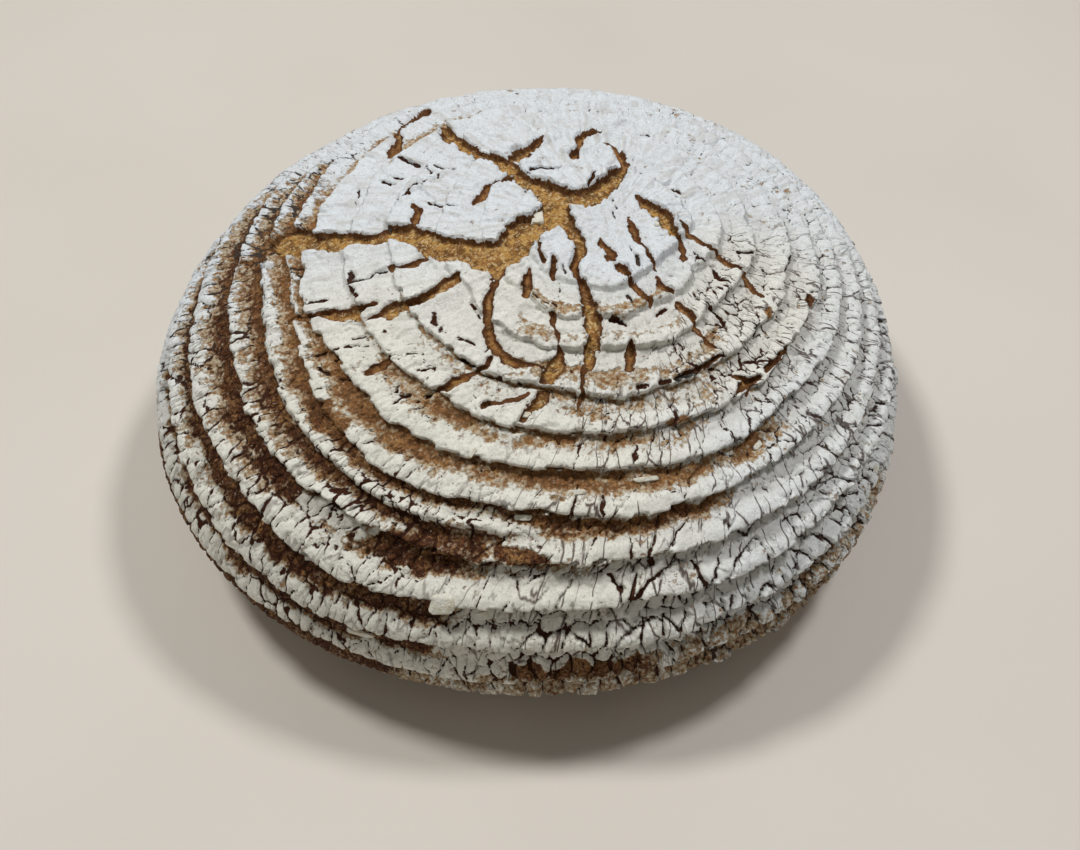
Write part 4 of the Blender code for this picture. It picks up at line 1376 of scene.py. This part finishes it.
class CrustFinish(Finish):
    """Flour over baked crust: bare in the valleys, golden in the tears, dark in the cracks."""

    def __init__(self):
        super().__init__("crust", {"Specular IOR Level": SHEEN})
        self.spot = self.place()
        self.rough_spot = self.shifted(self.spot, *ROUGH_SHIFT)
        self.fine = self.clouds(self.spot, *FINE_CLOUDS)
        self.middling = self.clouds(self.spot, *MIDDLING_CLOUDS)
        self.granule = self.cells(self.rough_spot, GRANULE_SIZE, "F1")
        self.warm = self.read("warm")
        self.brittle = self.read("brittle")
        self.left = self.read("left")

    def flour_cover(self):
        """How much flour shows: even where it is thick, dusty where it is thin, specks where it is gone."""
        cover = self.read("flour") + (GRANULE_MIDDLE - self.granule) * COVER_GRANULES
        cover = cover + (self.fine - 0.5) * COVER_CLOUDS + (self.middling - 0.5) * COVER_CLOUDS
        return cover.ramp(*FLOURED), cover.ramp(*DUSTY)

    def baked_crust(self, dusty):
        """The crust under the flour: darker towards the rim and on the lower left, lighter towards the crown,
        with golden patches and specks.
        """
        baked = self.read("baked")
        grit = self.clouds(self.rough_spot, *GRIT_CLOUDS)
        rubbed = grit.ramp(*LIGHT_GRIT)
        brown = self.mix((grit - self.granule * BROWN_GRANULES).ramp(*BROWN_GRIT), DARK_CRUST, BROWN_CRUST)
        brown = self.mix((1 - baked) * CROWN_LIGHTER, brown, LIGHT_CRUST)
        brown = self.mix(self.patches(self.spot, *LIGHT_PATCHES) * rubbed, brown, LIGHT_CRUST)
        brown = self.mix(baked * (RIM_DARKER + self.left * LEFT_DARKER), brown, DARK_CRUST)
        golden = self.patches(self.spot, *GOLDEN_PATCHES) * rubbed
        brown = self.mix(golden, brown, LIGHT_CRUST)
        fields = LEAST_SPECKS + self.patches(self.spot, *SPECK_FIELDS)
        brown = self.mix(self.patches(self.spot, *SPECKS) * fields, brown, FLOUR_SPECKS)
        dust = self.mix((grit - self.granule * DUST_GRANULES).ramp(*DUST_GRIT), LIGHT_CRUST, DUSTY_CRUST)
        return self.mix(dusty, brown, dust)

    def flour_coat(self):
        """The flour: cool at the crown and creamy towards the front, partly painted cool and warm light;
        painted grey shade in the valleys; greyer streaks.
        """
        # cool at the crown, creamy at the front: partly painted cool and warm light
        white = self.mix(self.warm, COOL_LIT_FLOUR, CREAM_FLOUR)
        thin = self.mix(THIN_GREY, white, GREY_FLOUR_AND_SHADE)
        thick = (self.fine * FINE_SHARE + self.middling * (1 - FINE_SHARE)).ramp(*THICK_FLOUR)
        white = self.mix(thick, thin, white)
        # painted grey shade low on each ridge, more where the flour is brittle
        shaded_valley = (1 - self.read("height")).ramp(*SHADED_VALLEY) * (SHADED_VALLEY_LEAST + self.brittle)
        white = self.mix(shaded_valley, white, GREY_FLOUR_AND_SHADE)
        streak = self.read("streaks").ramp(*GREY_STREAK) * (1 - self.brittle)
        return self.mix(streak, white, GREY_FLOUR_AND_SHADE)

    def hairlines(self, floured):
        """Hairline cracks through the flour, most of them across the ridges."""
        belt = self.shifted(self.read("belt", "Vector"), *BELT_SHIFT)
        found = 0
        for size, line, places, strength in HAIRLINES:
            lines = 1 - self.cells(belt, size).ramp(*line)
            found = (lines * self.patches(self.spot, *places) * strength).at_least(found)
        found = found * (LEAST_HAIRLINE + self.brittle.ramp(*BRITTLE_LINES))
        return found * (1 - self.left * LEFT_HAIRLINE) * (BARE_HAIRLINE + floured * (1 - BARE_HAIRLINE))

    def cracked(self, coat, floured):
        """The coat with its cracks, and how open they are."""
        crack_gap = self.read("crack_gap")
        shade = (self.warm * WARM_CRACKS).at_least(1 - self.brittle * CROWN_CRACKS)
        shade = self.mix(shade, CRACK_SHADE, DARK_CRUST)
        wide = (CRACK_INSIDE - crack_gap).ramp(*WIDE_CRACK) * (1 - self.brittle)
        shade = self.mix(wide, shade, BROWN_CRUST)
        open_crack = 1 - (crack_gap + (self.fine - 0.5) * CRACK_RAGGED).ramp(*CRACK_EDGE)
        return self.mix(open_crack, self.mix(self.hairlines(floured), coat, shade), shade), open_crack

    def torn_crumb(self, shore):
        """The crumb in the tears, darker in narrow ones, with dark walls of crust and painted shade under the
        plate edges, and its strings.
        """
        swirled = self.shifted(self.spot, *SWIRL_SHIFT)
        strings = self.clouds(swirled, *STRING_CLOUDS)
        crumb = self.mix(strings.ramp(*GOLDEN_STRINGS), BROWN_CRUMB, GOLDEN_CRUMB)
        crumb = self.mix(self.patches(self.rough_spot, *DARK_CRUMB_PATCHES), crumb, DARK_CRUMB)
        crumb = self.mix(self.patches(swirled, *PALE_STRINGS), crumb, PALE_CRUMB)
        narrow = (NARROW_WIDTH - self.read("tear_width")).ramp(*NARROW_TEAR)
        crumb = self.mix(narrow, crumb, BROWN_CRUST)
        # dark walls under the plate edges: dark crust and painted shade
        shaded_wall = (shore + (self.middling - 0.5) * SHORE_WAVES).ramp(*SHADED_TEAR_SHORE)
        return self.mix(shaded_wall, crumb, WALL_CRUST_AND_SHADE), strings


def crust_finish():
    finish = CrustFinish()
    floured, dusty = finish.flour_cover()
    coat = finish.mix(floured, finish.baked_crust(dusty), finish.flour_coat())
    coat, open_crack = finish.cracked(coat, floured)
    shore = finish.read("tear_gap") + (finish.fine - 0.5) * SHORE_RAGGED
    crumb, strings = finish.torn_crumb(shore)
    torn = 1 - shore.ramp(*TEAR_EDGE)
    finish.to_shader("Base Color", finish.mix(torn, coat, crumb))
    bare = 1 - floured * (1 - torn)
    finish.to_shader("Roughness", FLOUR_ROUGHNESS - bare * BARE_SMOOTHER)
    lumps = finish.clouds(finish.spot, *LUMP_CLOUDS) * (BUMP_LUMPS[0] + BUMP_LUMPS[1] * bare)
    lumps = lumps + strings * torn * BUMP_STRINGS
    lumps = lumps - finish.granule * (BUMP_GRANULES[0] + bare * BUMP_GRANULES[1])
    lumpy, raised, sunk = BUMP_LAYERS
    relief = lumps * lumpy + floured * raised - open_crack * sunk
    finish.to_shader("Normal", finish.bump(relief, BUMP_HEIGHT * MM, BUMP_STRENGTH))
    return finish.material


def flake_finish():
    """Floured flakes, browned here and there."""
    finish = Finish("flakes", {"Specular IOR Level": SHEEN, "Roughness": FLOUR_ROUGHNESS})
    place = finish.place()
    tone = finish.clouds(place, *FLAKE_CLOUDS)
    colour = finish.mix(tone.ramp(*FLAKE_CREAM_PATCHES), CREAM_FLOUR, FLAKE_CREAM)
    finish.to_shader("Base Color", finish.mix(tone.ramp(*FLAKE_BROWN_PATCHES), colour, DUSTY_CRUST))
    finish.to_shader("Normal", finish.bump(finish.clouds(place, *FLAKE_LUMPS), FLAKE_BUMP_HEIGHT * MM))
    return finish.material


# ---- the room
def add_floor():
    finish = Finish("floor", {"Roughness": FLOOR_ROUGHNESS})
    tone = finish.patches(finish.place(), *FLOOR_PATCHES)
    finish.to_shader("Base Color", finish.mix(tone, FLOOR_COLOUR, FLOOR_SHADE))
    mesh = bpy.data.meshes.new("floor")
    half = FLOOR_SIZE / 2
    corners = [(-half, -half, 0), (half, -half, 0), (half, half, 0), (-half, half, 0)]
    mesh.from_pydata(corners, [], [(0, 1, 2, 3)])
    mesh.materials.append(finish.material)
    floor = put_in_scene("floor", mesh)
    floor.location.z = FLOOR_DROP


def add_light(name, place, size, power, colour):
    light = bpy.data.lights.new(name, "AREA")
    light.shape = "DISK"
    light.size = size
    light.energy = power
    light.color = colour
    lamp = put_in_scene(name, light)
    lamp.location = place
    lamp.rotation_euler = (-Vector(place)).to_track_quat("-Z", "Y").to_euler()


def add_room():
    add_floor()
    for lamp in LAMPS:
        add_light(*lamp)
    world = bpy.data.worlds.new("room")
    world.use_nodes = True
    background = world.node_tree.nodes["Background"]
    background.inputs["Color"].default_value = (*ROOM_COLOUR, 1)
    background.inputs["Strength"].default_value = ROOM_STRENGTH
    bpy.context.scene.world = world
    bpy.context.scene.view_settings.view_transform = "Standard"


def add_camera(shift):
    target = (Vector(CAMERA_TARGET) - Vector(shift)) * MM
    rise = np.radians(CAMERA_RISE)
    camera = put_in_scene("camera", bpy.data.cameras.new("camera"))
    camera.location = target + CAMERA_DISTANCE * MM * Vector((0, -np.cos(rise), np.sin(rise)))
    camera.rotation_euler = (target - camera.location).to_track_quat("-Z", "Y").to_euler()
    camera.data.lens = CAMERA_LENS
    camera.data.clip_start = CAMERA_NEAR
    bpy.context.scene.camera = camera


shift = build_crust()
build_flakes(shift)
add_room()
add_camera(shift)
